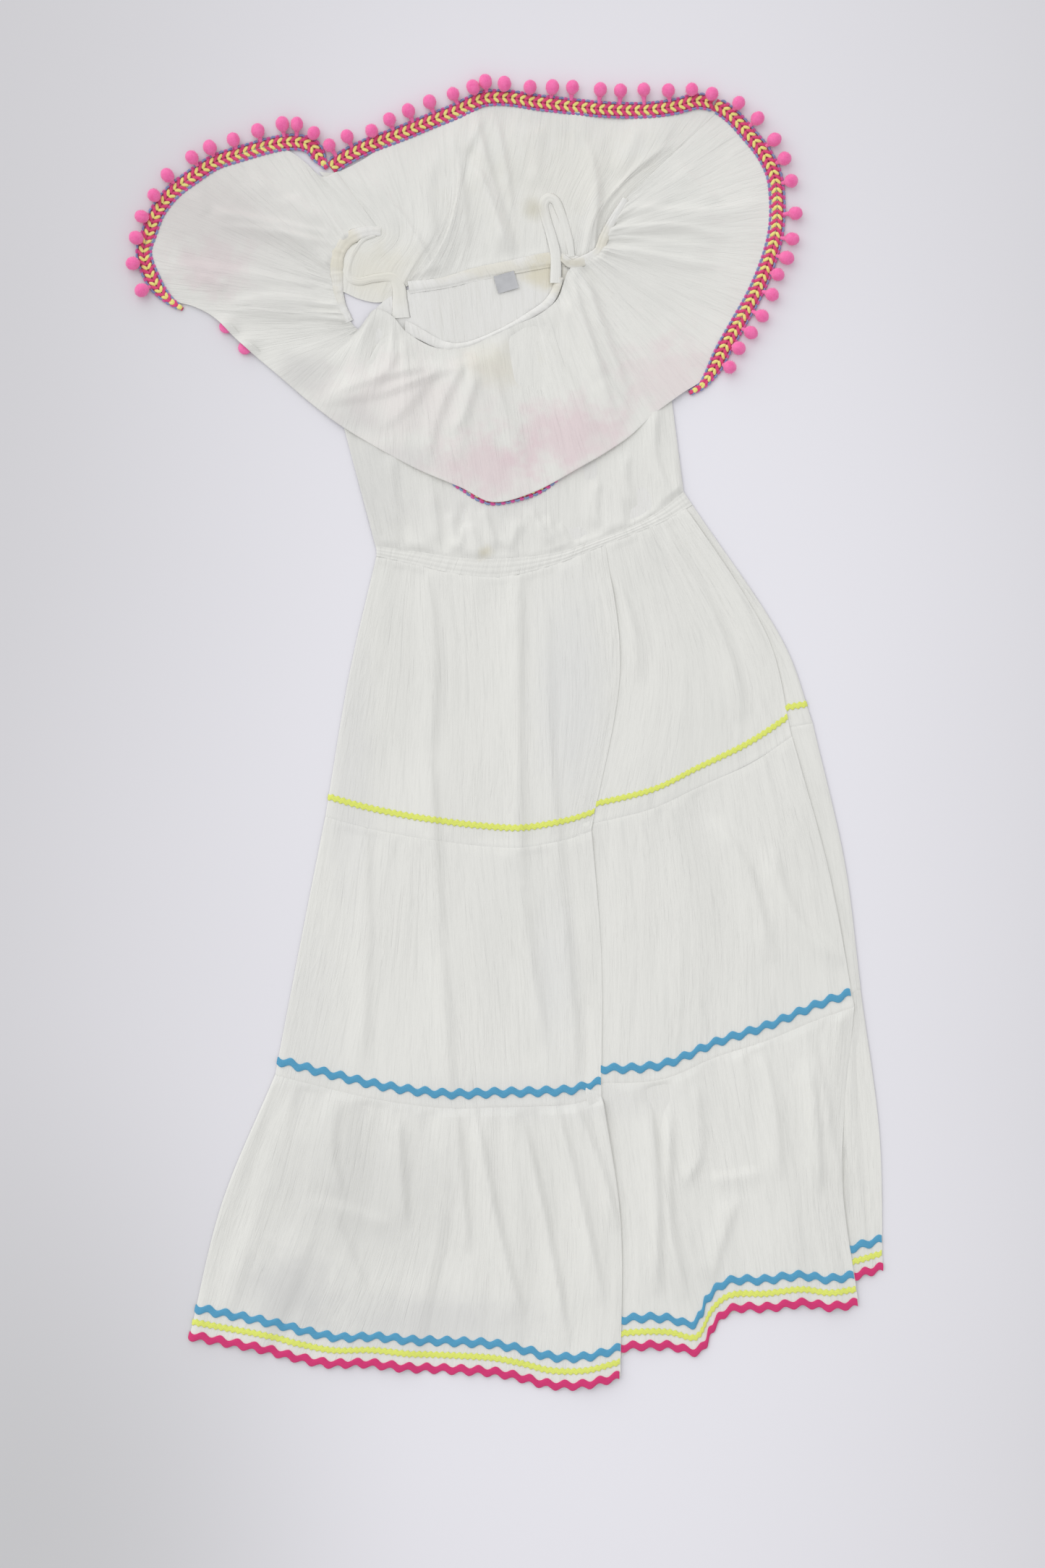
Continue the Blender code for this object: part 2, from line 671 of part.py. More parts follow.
def cloth_piece(name, sheet, thickness=CLOTH, flat_base=False, material=white_cotton):
    """One cloth piece, as a wall on a laid sheet."""
    upper, lower = sheet.faces_apart(thickness, flat_base)
    return add_object(name, wall_mesh(name, upper, lower), material)


def fold_columns(edge, start):
    """The columns that carry a pleat's cloth back under it, from its edge to its start."""
    turns = []
    last = len(edge) - 1
    for i, (over, beneath) in enumerate(zip(edge, start)):
        run = edge[min(i + 1, last)] - edge[max(i - 1, 0)]
        back = Vector((run.y, -run.x, 0.0)).normalized() * FOLD_REACH
        if back.dot(beneath - over) < 0.0:
            back = -back
        drop = (over.z - beneath.z) / 4
        turns.append((
            Vector((over.x, over.y, over.z - drop)) - back,
            Vector((over.x, over.y, over.z - 2 * drop)) + back * 0.4,
            Vector((beneath.x, beneath.y, over.z - 2 * drop)) - back * 0.4,
            Vector((beneath.x, beneath.y, over.z - 3 * drop)) + back,
        ))
    return [[turn[index] for turn in turns] for index in range(4)]


def station_line(station, row_count, base):
    """Points down one station, from its top to its low end."""
    controls = [
        Vector((station.top_x, station.top_y, 0.0)),
        Vector((station.mid_x, station.mid_y, 0.0)),
        Vector((station.low_x, station.low_y, 0.0)),
    ]
    line = []
    for i in range(row_count + 1):
        point = along(controls, 2.0 * i / row_count)
        line.append(Vector((point.x, point.y, base + station.lift)))
    return line


def split_runs(stations):
    """Stations between one deep pleat and the next."""
    runs = [[]]
    for station in stations:
        runs[-1].append(station)
        if station.pleat:
            runs.append([])
    return runs


def tier_sheet(stations, rows, step, creases, gathered, top_lines, low_lines):
    """A skirt tier's laid sheet, and the first and last column of each run of it."""
    columns = []
    spans = []
    for number, run in enumerate(split_runs(stations)):
        lines = [station_line(station, rows, FRONT_LAYER) for station in run]
        run_columns = []
        for index in range(len(lines) - 1):
            width = (lines[index + 1][rows // 2] - lines[index][rows // 2]).length
            pieces = max(1, round(width / step))
            for piece in range(pieces):
                share = index + piece / pieces
                run_columns.append([
                    along([line[i] for line in lines], share) for i in range(rows + 1)])
        run_columns.append(lines[-1])
        for column in run_columns:
            column[0] = snapped(column[0], top_lines[number])
            column[rows] = snapped(column[rows], low_lines[number])
        if columns:
            columns += fold_columns(columns[-1], run_columns[0])
        spans.append((len(columns), len(columns) + len(run_columns) - 1))
        columns += run_columns
    for number, (start, end) in enumerate(spans):
        raise_columns(columns, start, end, rows, creases, gathered, 2 if number else 0)
    tidy_edges(columns, rows, spans)
    return Sheet([[column[i] for column in columns] for i in range(rows + 1)]), spans


def raise_columns(columns, start, end, rows, creases, gathered, covered):
    """Raise the soft folds and the gathers between two columns, clear of covered ones."""
    for j in range(start, end + 1):
        near_fold = max(min(j - start - covered, end - j, 2), 0) / 2
        for i in range(rows + 1):
            point = columns[j][i]
            rise = crease_height(creases, point.x, point.y)
            if gathered and j % 2:
                rise += GATHER_HEIGHT * (1.0 - smooth_share(i / rows / GATHER_REACH))
            point.z = min(point.z + rise * near_fold, HIGHEST_FRONT)


def tidy_edges(columns, rows, spans):
    """Keep a seam gap at a tier's top and low edge, wider where a pleat turns under."""
    for j, column in enumerate(columns):
        inside = any(start < j < end for start, end in spans)
        gap = SEAM_GAP / 2 if inside else FOLD_SEAM_GAP / 2
        column[0] += (column[1] - column[0]).normalized() * gap
        column[rows] += (column[rows - 1] - column[rows]).normalized() * gap


def station_ends(stations, low):
    """The top or low ends of a row of stations."""
    if low:
        return [Vector((station.low_x, station.low_y, 0.0)) for station in stations]
    return [Vector((station.top_x, station.top_y, 0.0)) for station in stations]


def seam_lines(stations, low):
    """The shared line of each run of a tier, at its top or low edge."""
    return [fine_line(station_ends(run, low)) for run in split_runs(stations)]


def back_sheet(stations, picks, rows, top_line, low_line, low_rise):
    """A tier's back, flat on the floor, within the outline of its front."""
    lines = [station_line(stations[pick], rows, 0.0) for pick in picks]
    columns = []
    for index in range(len(lines) - 1):
        width = (lines[index + 1][0] - lines[index][0]).length
        pieces = max(1, round(width / BACK_STEP))
        last = index == len(lines) - 2
        for piece in range(pieces + 1 if last else pieces):
            share = index + piece / pieces
            columns.append([along([line[i] for line in lines], share) for i in range(rows + 1)])
    for column in columns:
        column[0] = snapped(column[0], top_line)
        column[rows] = snapped(column[rows], low_line)
        for point in column:
            point.z = FLOOR_LAYER
        column[0] += (column[1] - column[0]).normalized() * SEAM_GAP
        column[rows] += (column[rows - 1] - column[rows]).normalized() * (
            SEAM_GAP + low_rise)
    return Sheet([[column[i] for column in columns] for i in range(rows + 1)])


def back_line(stations, picks, low):
    """The shared line of a tier's back, at its top or low edge."""
    return fine_line(station_ends([stations[pick] for pick in picks], low))


def upper_line(runs):
    """The shared line of a band's upper edge."""
    return fine_line([Vector((run.upper_x, run.upper_y, 0.0)) for run in runs])


def lower_line(runs):
    """The shared line of a band's lower edge."""
    return fine_line([Vector((run.lower_x, run.lower_y, 0.0)) for run in runs])


def band_sheet(runs, rows, step, height, creases, gather_top=0.0, gather_low=0.0,
               top_line=None, low_line=None):
    """A laid band or bodice panel between its upper and lower edge."""
    uppers = [Vector((run.upper_x, run.upper_y, height)) for run in runs]
    lowers = [Vector((run.lower_x, run.lower_y, height)) for run in runs]
    columns = []
    for index in range(len(runs) - 1):
        width = (lowers[index + 1] - lowers[index]).length
        pieces = max(1, round(width / step))
        last = index == len(runs) - 2
        for piece in range(pieces + 1 if last else pieces):
            position = index + piece / pieces
            upper = along(uppers, position)
            lower = along(lowers, position)
            if top_line:
                upper = snapped(upper, top_line)
            if low_line:
                lower = snapped(lower, low_line)
            trim = (lower - upper).normalized() * SEAM_GAP
            columns.append([
                (upper + trim / 2).lerp(lower - trim, i / rows) for i in range(rows + 1)])
    for j, column in enumerate(columns):
        for i, point in enumerate(column):
            rise = crease_height(creases, point.x, point.y)
            if j % 2:
                rise += gather_top * (1.0 - smooth_share(i / rows / GATHER_REACH))
                rise += gather_low * (1.0 - smooth_share((1.0 - i / rows) / GATHER_REACH))
            point.z += rise
    return Sheet([[column[i] for column in columns] for i in range(rows + 1)])


def beside_braid(inner, outer, braids):
    """The last place on the way from inner to outer that is clear of the braid."""
    inset = BRAID_WIDTH / 2 + 2.0 * SEAM_GAP
    steps = 400
    for count in range(steps, steps // 2, -1):
        place = inner.lerp(outer, count / steps)
        if all(line_distance(place, line) >= inset for line in braids):
            return place
    return inner.lerp(outer, 0.5)


def line_distance(point, line):
    """How far a place lies from a line on the floor."""
    return (snapped(point, line) - point).length


def braid_line(places):
    """A braid's centre line in short steps."""
    return fine_line([Vector((place.x, place.y, 0.0)) for place in places])


def flounce_front_sheet(rows, step):
    """The flounce's front, fanned out from the neck and sleeve elastics."""
    inners = [Vector((spoke.inner_x, spoke.inner_y, spoke.inner_z)) for spoke in FLOUNCE_FRONT]
    outers = [Vector((spoke.outer_x, spoke.outer_y, spoke.outer_z)) for spoke in FLOUNCE_FRONT]
    braids = [braid_line(BRAID_LEFT), braid_line(BRAID_RIGHT)]
    columns = []
    for index in range(len(inners) - 1):
        width = (outers[index + 1] - outers[index]).length
        pieces = max(1, round(width / step))
        last = index == len(inners) - 2
        for piece in range(pieces + 1 if last else pieces):
            position = index + piece / pieces
            inner = along(inners, position)
            outer = along(outers, position)
            outer = beside_braid(inner, outer, braids)
            column = []
            for i in range(rows + 1):
                share = i / rows
                point = inner.lerp(outer, share)
                point.z = inner.z + (outer.z - inner.z) * smooth_share(share * 1.3)
                column.append(point)
            columns.append(column)
    for j, column in enumerate(columns):
        for i, point in enumerate(column):
            rise = crease_height(FLOUNCE_FRONT_CREASES, point.x, point.y)
            if j % 2:
                rise += FLOUNCE_GATHER_HEIGHT * (
                    1.0 - smooth_share(i / rows / GATHER_REACH / 1.5))
            point.z += rise * min(1.0, (rows - i) / 2)
    return Sheet([[column[i] for column in columns] for i in range(rows + 1)])


def flounce_back_sheet(rows, step):
    """The flounce's back, flipped up above the neck."""
    braids = [braid_line(line) for line in (BRAID_LEFT, BRAID_BACK, BRAID_RIGHT)]
    lines = []
    for reach in FLOUNCE_BACK:
        controls = [
            Vector((reach.neck_x, reach.neck_y, FLOOR_LAYER)),
            Vector((reach.near_x, reach.near_y, FLOOR_LAYER)),
            Vector((reach.far_x, reach.far_y, FLOOR_LAYER)),
            Vector((reach.braid_x, reach.braid_y, FLOOR_LAYER)),
        ]
        controls[3] = beside_braid(controls[2], controls[3], braids)
        lines.append([along(controls, 3.0 * i / rows) for i in range(rows + 1)])
    columns = []
    for index in range(len(lines) - 1):
        width = (lines[index + 1][rows // 2] - lines[index][rows // 2]).length
        pieces = max(1, round(width / step))
        last = index == len(lines) - 2
        for piece in range(pieces + 1 if last else pieces):
            position = index + piece / pieces
            column = [along([line[i] for line in lines], position) for i in range(rows + 1)]
            column[rows] = beside_braid(column[rows - 2], column[rows], braids)
            columns.append(column)
    for j, column in enumerate(columns):
        for i, point in enumerate(column):
            rise = crease_height(FLOUNCE_BACK_CREASES, point.x, point.y)
            if j % 2:
                rise += FLOUNCE_GATHER_HEIGHT * (1.0 - smooth_share(i / rows / GATHER_REACH))
            edge = min(j, len(columns) - 1 - j, 2) / 2
            point.z += rise * edge * min(1.0, (rows - i) / 2)
    return Sheet([[column[i] for column in columns] for i in range(rows + 1)])


def ribbon_mesh(name, centres, sides, thickness):
    """A closed ribbon of four-cornered sections, from middle points and half-width sides."""
    upper = []
    lower = []
    for centre, side in zip(centres, sides):
        lift = Vector((0.0, 0.0, thickness / 2))
        upper.append([centre - side + lift, centre + side + lift])
        lower.append([centre - side - lift, centre + side - lift])
    return wall_mesh(name, upper, lower)


def side_vectors(centres, widths):
    """Half-width vectors, square to a laid line and flat."""
    sides = []
    last = len(centres) - 1
    for index, width in enumerate(widths):
        run = centres[min(index + 1, last)] - centres[max(index - 1, 0)]
        sides.append(Vector((-run.y, run.x, 0.0)).normalized() * width / 2)
    return sides


def lace_piece(name, laces, thickness, step=8.0):
    """A strap or an elastic casing along its own line."""
    centres = spaced([Vector((lace.x, lace.y, lace.z)) for lace in laces], step)
    widths = spaced([Vector((lace.width, 0.0, 0.0)) for lace in laces], 1000.0)
    per_span = []
    for index in range(len(laces) - 1):
        here = Vector((laces[index].x, laces[index].y, laces[index].z))
        there = Vector((laces[index + 1].x, laces[index + 1].y, laces[index + 1].z))
        pieces = max(1, round((there - here).length / step))
        for piece in range(pieces):
            per_span.append(widths[index].x + (widths[index + 1].x - widths[index].x)
                            * piece / pieces)
    per_span.append(widths[-1].x)
    mesh = ribbon_mesh(name, centres, side_vectors(centres, per_span), thickness)
    return add_object(name, mesh, white_cotton)


def union(body, tool):
    """Join a tool's mesh to a body's mesh and return the body's new mesh."""
    join = body.modifiers.new("join", "BOOLEAN")
    join.operation = "UNION"
    join.solver = "EXACT"
    join.object = tool
    graph = bpy.context.evaluated_depsgraph_get()
    joined = bpy.data.meshes.new_from_object(body.evaluated_get(graph))
    body.modifiers.remove(join)
    body.data = joined
    bpy.data.objects.remove(tool, do_unlink=True)


def plain_object(name, mesh):
    """An object with no material, for joining."""
    piece = bpy.data.objects.new(name, mesh)
    bpy.context.scene.collection.objects.link(piece)
    return piece


def pompom(place, centres):
    """One pompom and its short root, which ends inside the braid's edge."""
    ball = Vector((place.x, place.y, POMPOM_RADIUS + LAY_GAP))
    nearest = min(centres[1:-1], key=lambda centre: (centre.xy - ball.xy).length)
    out = Vector((ball.x - nearest.x, ball.y - nearest.y, 0.0)).normalized()
    foot = Vector((nearest.x, nearest.y, nearest.z)) + out * (BRAID_WIDTH / 2 - 2.0)
    axis = (ball - foot).normalized()
    side = Vector((-out.y, out.x, 0.0))
    over = axis.cross(side)
    half = POMPOM_RADIUS * math.sqrt(0.5)
    rings = (
        (foot, ROOT_RADIUS),
        (ball - axis * half, half),
        (ball, POMPOM_RADIUS),
        (ball + axis * half, half),
    )
    vertices = []
    for middle, radius in rings:
        for k in range(POMPOM_SEGMENTS):
            turn = 2.0 * math.pi * (k + 0.5) / POMPOM_SEGMENTS
            vertices.append(
                middle + (side * math.cos(turn) + over * math.sin(turn)) * radius)
    vertices.append(ball + axis * POMPOM_RADIUS)
    faces = [tuple(range(POMPOM_SEGMENTS))]
    for ring in range(len(rings)):
        for k in range(POMPOM_SEGMENTS):
            here = ring * POMPOM_SEGMENTS + k
            there = ring * POMPOM_SEGMENTS + (k + 1) % POMPOM_SEGMENTS
            if ring == len(rings) - 1:
                faces.append((here, there, len(vertices) - 1))
            else:
                faces.append((here, there, there + POMPOM_SEGMENTS, here + POMPOM_SEGMENTS))
    return plain_object("pompom", closed_mesh("pompom", vertices, faces))


def braid_pieces(name, places, pompoms, pieces, height=BRAID_THICKNESS / 2,
                 thickness=BRAID_THICKNESS):
    """A stretch of braid in a few lengths, each with its own pompoms fused on."""
    centres = spaced([Vector((place.x, place.y, height)) for place in places], BRAID_STEP)
    sides = side_vectors(centres, [BRAID_WIDTH] * len(centres))
    ends = [round(index * (len(centres) - 1) / pieces) for index in range(pieces + 1)]
    for index in range(pieces):
        stretch = [centre.copy() for centre in centres[ends[index]:ends[index + 1] + 1]]
        if index:
            stretch[0] = stretch[0].lerp(stretch[1], 2.0 * SEAM_GAP / BRAID_STEP)
        label = f"{name}_{index + 1}"
        own_sides = sides[ends[index]:ends[index + 1] + 1]
        mesh = ribbon_mesh(label, stretch, own_sides, thickness)
        body = plain_object(label, mesh)
        for place in pompoms:
            nearest = min(range(len(centres)),
                          key=lambda k: math.hypot(centres[k].x - place.x,
                                                   centres[k].y - place.y))
            share = min(int(nearest * pieces / (len(centres) - 1)), pieces - 1)
            while share and nearest <= ends[share]:
                share -= 1
            if share == index:
                union(body, pompom(place, stretch))
        body.data.materials.clear()
        body.data.materials.append(pompom_pink(label))


def rickrack(name, sheet, span, rise, width, swing, shade, steps_per_wave=2):
    """Zigzag tape along one run of a panel, made from the panel's points, moved out."""
    start, end = span
    count = max(2, round(12 * (end - start)))
    track = []
    travelled = 0.0
    previous = None
    for k in range(count + 1):
        column = start + (end - start) * k / count
        row = sheet.row_at_rise(column, rise)
        point, _ = sheet.at(row, column)
        travelled += (point - previous).length if previous else 0.0
        previous = point
        track.append((travelled, column, row))
    upper = []
    lower = []
    waves = max(1, round(travelled / RICKRACK_PITCH))
    steps = waves * steps_per_wave if swing else max(2, round(travelled / YELLOW_STEP))
    base = CLOTH / 2 + TRIM_GAP
    cursor = 0
    for step in range(steps + 1):
        distance = travelled * step / steps
        while cursor < count - 1 and track[cursor + 1][0] < distance:
            cursor += 1
        length, column, row = track[cursor]
        next_length, next_column, next_row = track[cursor + 1]
        share = (distance - length) / max(next_length - length, 0.001)
        column += (next_column - column) * share
        row += (next_row - row) * share
        first, _ = sheet.at(row, column)
        second, _ = sheet.at(row - 0.5, column)
        row_length = 2.0 * (first - second).length
        wave = swing * math.cos(2.0 * math.pi * waves * step / steps)
        top_line = []
        low_line = []
        for edge in (wave - width / 2, wave + width / 2):
            point, normal = sheet.at(row + edge / row_length, column)
            low_line.append(point + normal * base)
            top_line.append(point + normal * (base + RICKRACK_THICKNESS))
        upper.append(top_line)
        lower.append(low_line)
    return add_object(name, wall_mesh(name, upper, lower), trim_colour(shade))


def neck_label():
    """The plain label inside the back of the neck."""
    right = Vector((math.cos(LABEL_TILT), math.sin(LABEL_TILT), 0.0))
    up = Vector((-right.y, right.x, 0.0))
    height = CASING_THICKNESS + LAY_GAP + LABEL_THICKNESS / 2
    centre = Vector((LABEL_CENTRE.x, LABEL_CENTRE.y, height))
    rows = []
    for down in (0.5, 0.0, -0.5):
        rows.append([centre + right * LABEL_SIZE.x * across + up * LABEL_SIZE.y * down
                     for across in (-0.5, 0.0, 0.5)])
    return cloth_piece("neck_label", Sheet(rows), LABEL_THICKNESS, material=label_grey)


def make_skirt():
    """Three tiers, front and back, with the rickrack on the front."""
    waist = lower_line(WAIST_CASING)
    first_seams = seam_lines(MIDDLE_TIER, False)
    second_seams = seam_lines(MIDDLE_TIER, True)
    hems = seam_lines(BOTTOM_TIER, True)
    top, top_spans = tier_sheet(
        TOP_TIER, 6, 16.0, SKIRT_CREASES, True, [waist] * 3, first_seams)
    middle, middle_spans = tier_sheet(
        MIDDLE_TIER, 5, 16.0, SKIRT_CREASES, True, first_seams, second_seams)
    bottom, bottom_spans = tier_sheet(
        BOTTOM_TIER, 7, 16.0, SKIRT_CREASES, True, second_seams, hems)
    cloth_piece("skirt_top_tier_front", top)
    cloth_piece("skirt_middle_tier_front", middle)
    cloth_piece("skirt_bottom_tier_front", bottom)
    first_back = back_line(MIDDLE_TIER, MIDDLE_BACK_PICKS, False)
    second_back = back_line(MIDDLE_TIER, MIDDLE_BACK_PICKS, True)
    hem_back = back_line(BOTTOM_TIER, BOTTOM_BACK_PICKS, True)
    cloth_piece("skirt_top_tier_back", back_sheet(
        TOP_TIER, TOP_BACK_PICKS, 4, waist, first_back, 0.0), flat_base=True)
    cloth_piece("skirt_middle_tier_back", back_sheet(
        MIDDLE_TIER, MIDDLE_BACK_PICKS, 4, first_back, second_back, 0.0), flat_base=True)
    cloth_piece("skirt_bottom_tier_back", back_sheet(
        BOTTOM_TIER, BOTTOM_BACK_PICKS, 4, second_back, hem_back, 5.0), flat_base=True)
    yellow = ("yellow", BABY_RICKRACK_WIDTH, 0.0)
    blue = ("blue", RICKRACK_WIDTH, RICKRACK_SWING)
    pink = ("pink", RICKRACK_WIDTH, RICKRACK_SWING)
    trims = (
        ("tier", top, top_spans, TIER_YELLOW_RISE, yellow),
        ("tier", middle, middle_spans[:2], TIER_BLUE_RISE, blue),
        ("hem", bottom, bottom_spans, HEM_BLUE_RISE, blue),
        ("hem", bottom, bottom_spans, HEM_YELLOW_RISE, yellow),
        ("hem", bottom, bottom_spans, HEM_PINK_RISE, pink),
    )
    for place, sheet, spans, rise, (shade, width, swing) in trims:
        for index, span in enumerate(spans):
            rickrack(f"{place}_rickrack_{shade}_{index + 1}", sheet,
                     clear_span(sheet, span, index, rise), rise, width, swing, shade)


def clear_span(sheet, span, index, rise):
    """The part of a run, at one rise, that no pleat covers."""
    start, end = span
    if not index:
        return (start + 0.15, end - 0.15)
    edge = start - 5.0
    rim, _ = sheet.at(sheet.row_at_rise(edge, rise), edge)
    first, _ = sheet.at(sheet.row_at_rise(start, rise), start)
    later, _ = sheet.at(sheet.row_at_rise(start + 1.9, rise), start + 1.9)
    onward = Vector((later.x - first.x, later.y - first.y, 0.0)).normalized()
    column = float(start)
    while column < end - 1.0:
        place, _ = sheet.at(sheet.row_at_rise(column, rise), column)
        if (place - rim).dot(onward) > PLEAT_CLEARANCE:
            break
        column += 0.05
    return (column, end - 0.15)


def make_bodice():
    """Waist casing, bodice front and back, and the neck casings."""
    waist = upper_line(WAIST_CASING)
    cloth_piece("waist_casing_front",
                band_sheet(WAIST_CASING, 2, 12.0, FRONT_LAYER, NO_CREASES, 0.5, 0.5))
    cloth_piece("waist_casing_back",
                band_sheet(WAIST_CASING, 1, 16.0, FLOOR_LAYER, NO_CREASES), flat_base=True)
    cloth_piece("bodice_front", band_sheet(
        BODICE_FRONT, 6, 13.0, FRONT_LAYER, BODICE_CREASES, 0.0, 0.8, low_line=waist))
    cloth_piece("bodice_back", band_sheet(
        BODICE_BACK, 5, 16.0, FLOOR_LAYER, NO_CREASES, low_line=waist), flat_base=True)
    cloth_piece("neck_casing_back",
                band_sheet(NECK_CASING_BACK, 1, 12.0, CASING_THICKNESS / 2, NO_CREASES),
                CASING_THICKNESS, flat_base=True)
    cloth_piece("neck_casing_front",
                band_sheet(NECK_CASING_FRONT, 1, 12.0, FRONT_LAYER + 0.7, NO_CREASES),
                CASING_THICKNESS)


def make_flounce():
    """The flounce, its elastics, braid and pompoms."""
    cloth_piece("flounce_front", flounce_front_sheet(7, 18.0))
    cloth_piece("flounce_back", flounce_back_sheet(8, 15.0), flat_base=True)
    lace_piece("sleeve_casing_left", SLEEVE_CASING_LEFT, CASING_THICKNESS)
    lace_piece("sleeve_casing_right", SLEEVE_CASING_RIGHT, CASING_THICKNESS)
    braid_pieces("pompom_braid_left", BRAID_LEFT, POMPOMS_LEFT, 3)
    braid_pieces("pompom_braid_back", BRAID_BACK, POMPOMS_BACK, 3)
    braid_pieces("pompom_braid_right", BRAID_RIGHT, POMPOMS_RIGHT, 3)
    braid_pieces("pompom_braid_front", BRAID_FRONT, (), 1, TUCKED_BRAID_HEIGHT,
                 TUCKED_BRAID_THICKNESS)


def main():
    """Build the dress, piece by piece."""
    clear_scene()
    make_skirt()
    make_bodice()
    make_flounce()
    lace_piece("strap_left", STRAP_LEFT, STRAP_THICKNESS)
    lace_piece("strap_right", STRAP_RIGHT, STRAP_THICKNESS)
    neck_label()


main()
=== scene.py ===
"""Looks of a girl's fit and flare dress of crinkled white cotton, laid flat, front up.

The tables give places on the laid-out dress in millimetres, X to the right and Y towards
the neck. Each cloth panel is a fine laid grid on its solid, with its folds, gathers and
crinkle raised by listed ridges and soft noise; the trims are made from its points.
"""

from __future__ import annotations

import logging
import math
from dataclasses import dataclass, field
from enum import Enum, IntEnum
from typing import NamedTuple, Sequence

import bpy
import numpy as np
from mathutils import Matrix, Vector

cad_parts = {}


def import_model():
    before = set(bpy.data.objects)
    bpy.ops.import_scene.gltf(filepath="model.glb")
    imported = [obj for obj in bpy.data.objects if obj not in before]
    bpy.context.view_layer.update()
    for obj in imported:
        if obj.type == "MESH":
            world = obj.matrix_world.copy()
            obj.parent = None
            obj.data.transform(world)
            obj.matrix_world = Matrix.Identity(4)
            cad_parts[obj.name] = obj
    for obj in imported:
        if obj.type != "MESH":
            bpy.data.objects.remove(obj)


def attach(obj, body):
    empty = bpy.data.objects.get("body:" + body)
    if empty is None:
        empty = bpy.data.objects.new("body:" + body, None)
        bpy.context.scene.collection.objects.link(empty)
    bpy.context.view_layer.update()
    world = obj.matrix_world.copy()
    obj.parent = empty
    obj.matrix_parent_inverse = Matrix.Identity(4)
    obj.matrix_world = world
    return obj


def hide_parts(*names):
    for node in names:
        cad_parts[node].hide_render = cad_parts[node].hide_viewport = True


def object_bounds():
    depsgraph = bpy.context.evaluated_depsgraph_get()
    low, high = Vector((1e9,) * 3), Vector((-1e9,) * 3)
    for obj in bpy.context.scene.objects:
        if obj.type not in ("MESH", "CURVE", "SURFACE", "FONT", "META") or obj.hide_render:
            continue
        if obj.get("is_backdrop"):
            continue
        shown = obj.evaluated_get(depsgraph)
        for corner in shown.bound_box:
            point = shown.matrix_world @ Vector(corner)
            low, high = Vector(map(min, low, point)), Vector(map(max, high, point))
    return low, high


MM = 0.001
CENTRE_SHIFT = np.array([0.65, 1.3, 0.0])

# Heights, in millimetres above the floor.
BACK_HEIGHT = 0.9
FRONT_HEIGHT = 2.2
SIDE_HEIGHT = 1.0
FLOOR_CLEARANCE = 0.25
TRIM_LOWEST = 0.1
LOWEST = 0.05

# How high a crease's ridge stands, how its two sides spread, and how a pleat's layers lie.
FOLD_GAIN = 2.0
STEEP_SIDE = 0.5
LONG_SIDE = 1.5
PLEAT_RISE = 0.22
PLEAT_DROP = 0.45

# Cloth for each unit of width.
CRINKLE_FULLNESS = 1.05

# Distances between rows and columns of points beside an edge.
EDGE_BAND = 8.0
EDGE_ROWS = 1.3
EDGE_COLUMNS = (0.4, 0.8, 2.0)

ORIGIN = (0.0, 0.0, 0.0)

Array = np.ndarray
Socket = bpy.types.NodeSocket
Material = bpy.types.Material
Mesh = bpy.types.Mesh


class Station(NamedTuple):
    """A line down a tier: top, middle and low end, lift, and 1 where a pleat follows."""

    top_x: float
    top_y: float
    mid_x: float
    mid_y: float
    low_x: float
    low_y: float
    lift: float
    pleat: int


class Run(NamedTuple):
    """A line across a band, from its upper to its lower edge."""

    upper_x: float
    upper_y: float
    lower_x: float
    lower_y: float


class Spoke(NamedTuple):
    """A line out across the front flounce, and whether the braid lies beside its end."""

    inner_x: float
    inner_y: float
    outer_x: float
    outer_y: float
    inner_z: float
    outer_z: float
    braided: int


class Reach(NamedTuple):
    """A line up the back flounce, from the neck out to the braid."""

    neck_x: float
    neck_y: float
    near_x: float
    near_y: float
    far_x: float
    far_y: float
    braid_x: float
    braid_y: float


class Spot(NamedTuple):
    """A place on the floor plan."""

    x: float
    y: float


class Lace(NamedTuple):
    """A point along a strap or an elastic casing, and its width there."""

    x: float
    y: float
    z: float
    width: float


class Crease(NamedTuple):
    """A soft fold along three points: how wide it is, and how high or how deep."""

    start_x: float
    start_y: float
    mid_x: float
    mid_y: float
    end_x: float
    end_y: float
    width: float
    height: float


TOP_TIER = tuple(Station(*row) for row in (
    (-116, 158, -140, 54, -162, -76, 0, 0), (-98, 154, -115, 48, -129, -85, 0, 0),
    (-71, 147, -64, 41, -66, -96, 0, 0), (-32, 140, -25, 34, -29, -102, 0, 0),
    (15, 140, 14, 33, 15, -104, 0, 0), (30, 145, 33, 33, 36, -101, 0.5, 0),
    (66, 159, 75, 37, 57, -96, 2.9, 0), (90, 167, 103, 57, 77, -89, 3, 1),
    (81, 164, 92, 58, 65, -85, 0, 0), (118, 179, 147, 54, 131, -69, 0, 0),
    (134, 186, 189, 63, 196, -40, 0.3, 0), (149, 193, 214, 73, 231, -20, 2.9, 0),
    (162, 200, 236, 83, 257, -4, 3, 1), (155, 196, 223, 86, 243, 2, 0, 0),
    (168, 204, 251, 78, 276, 8, 0, 0),
))

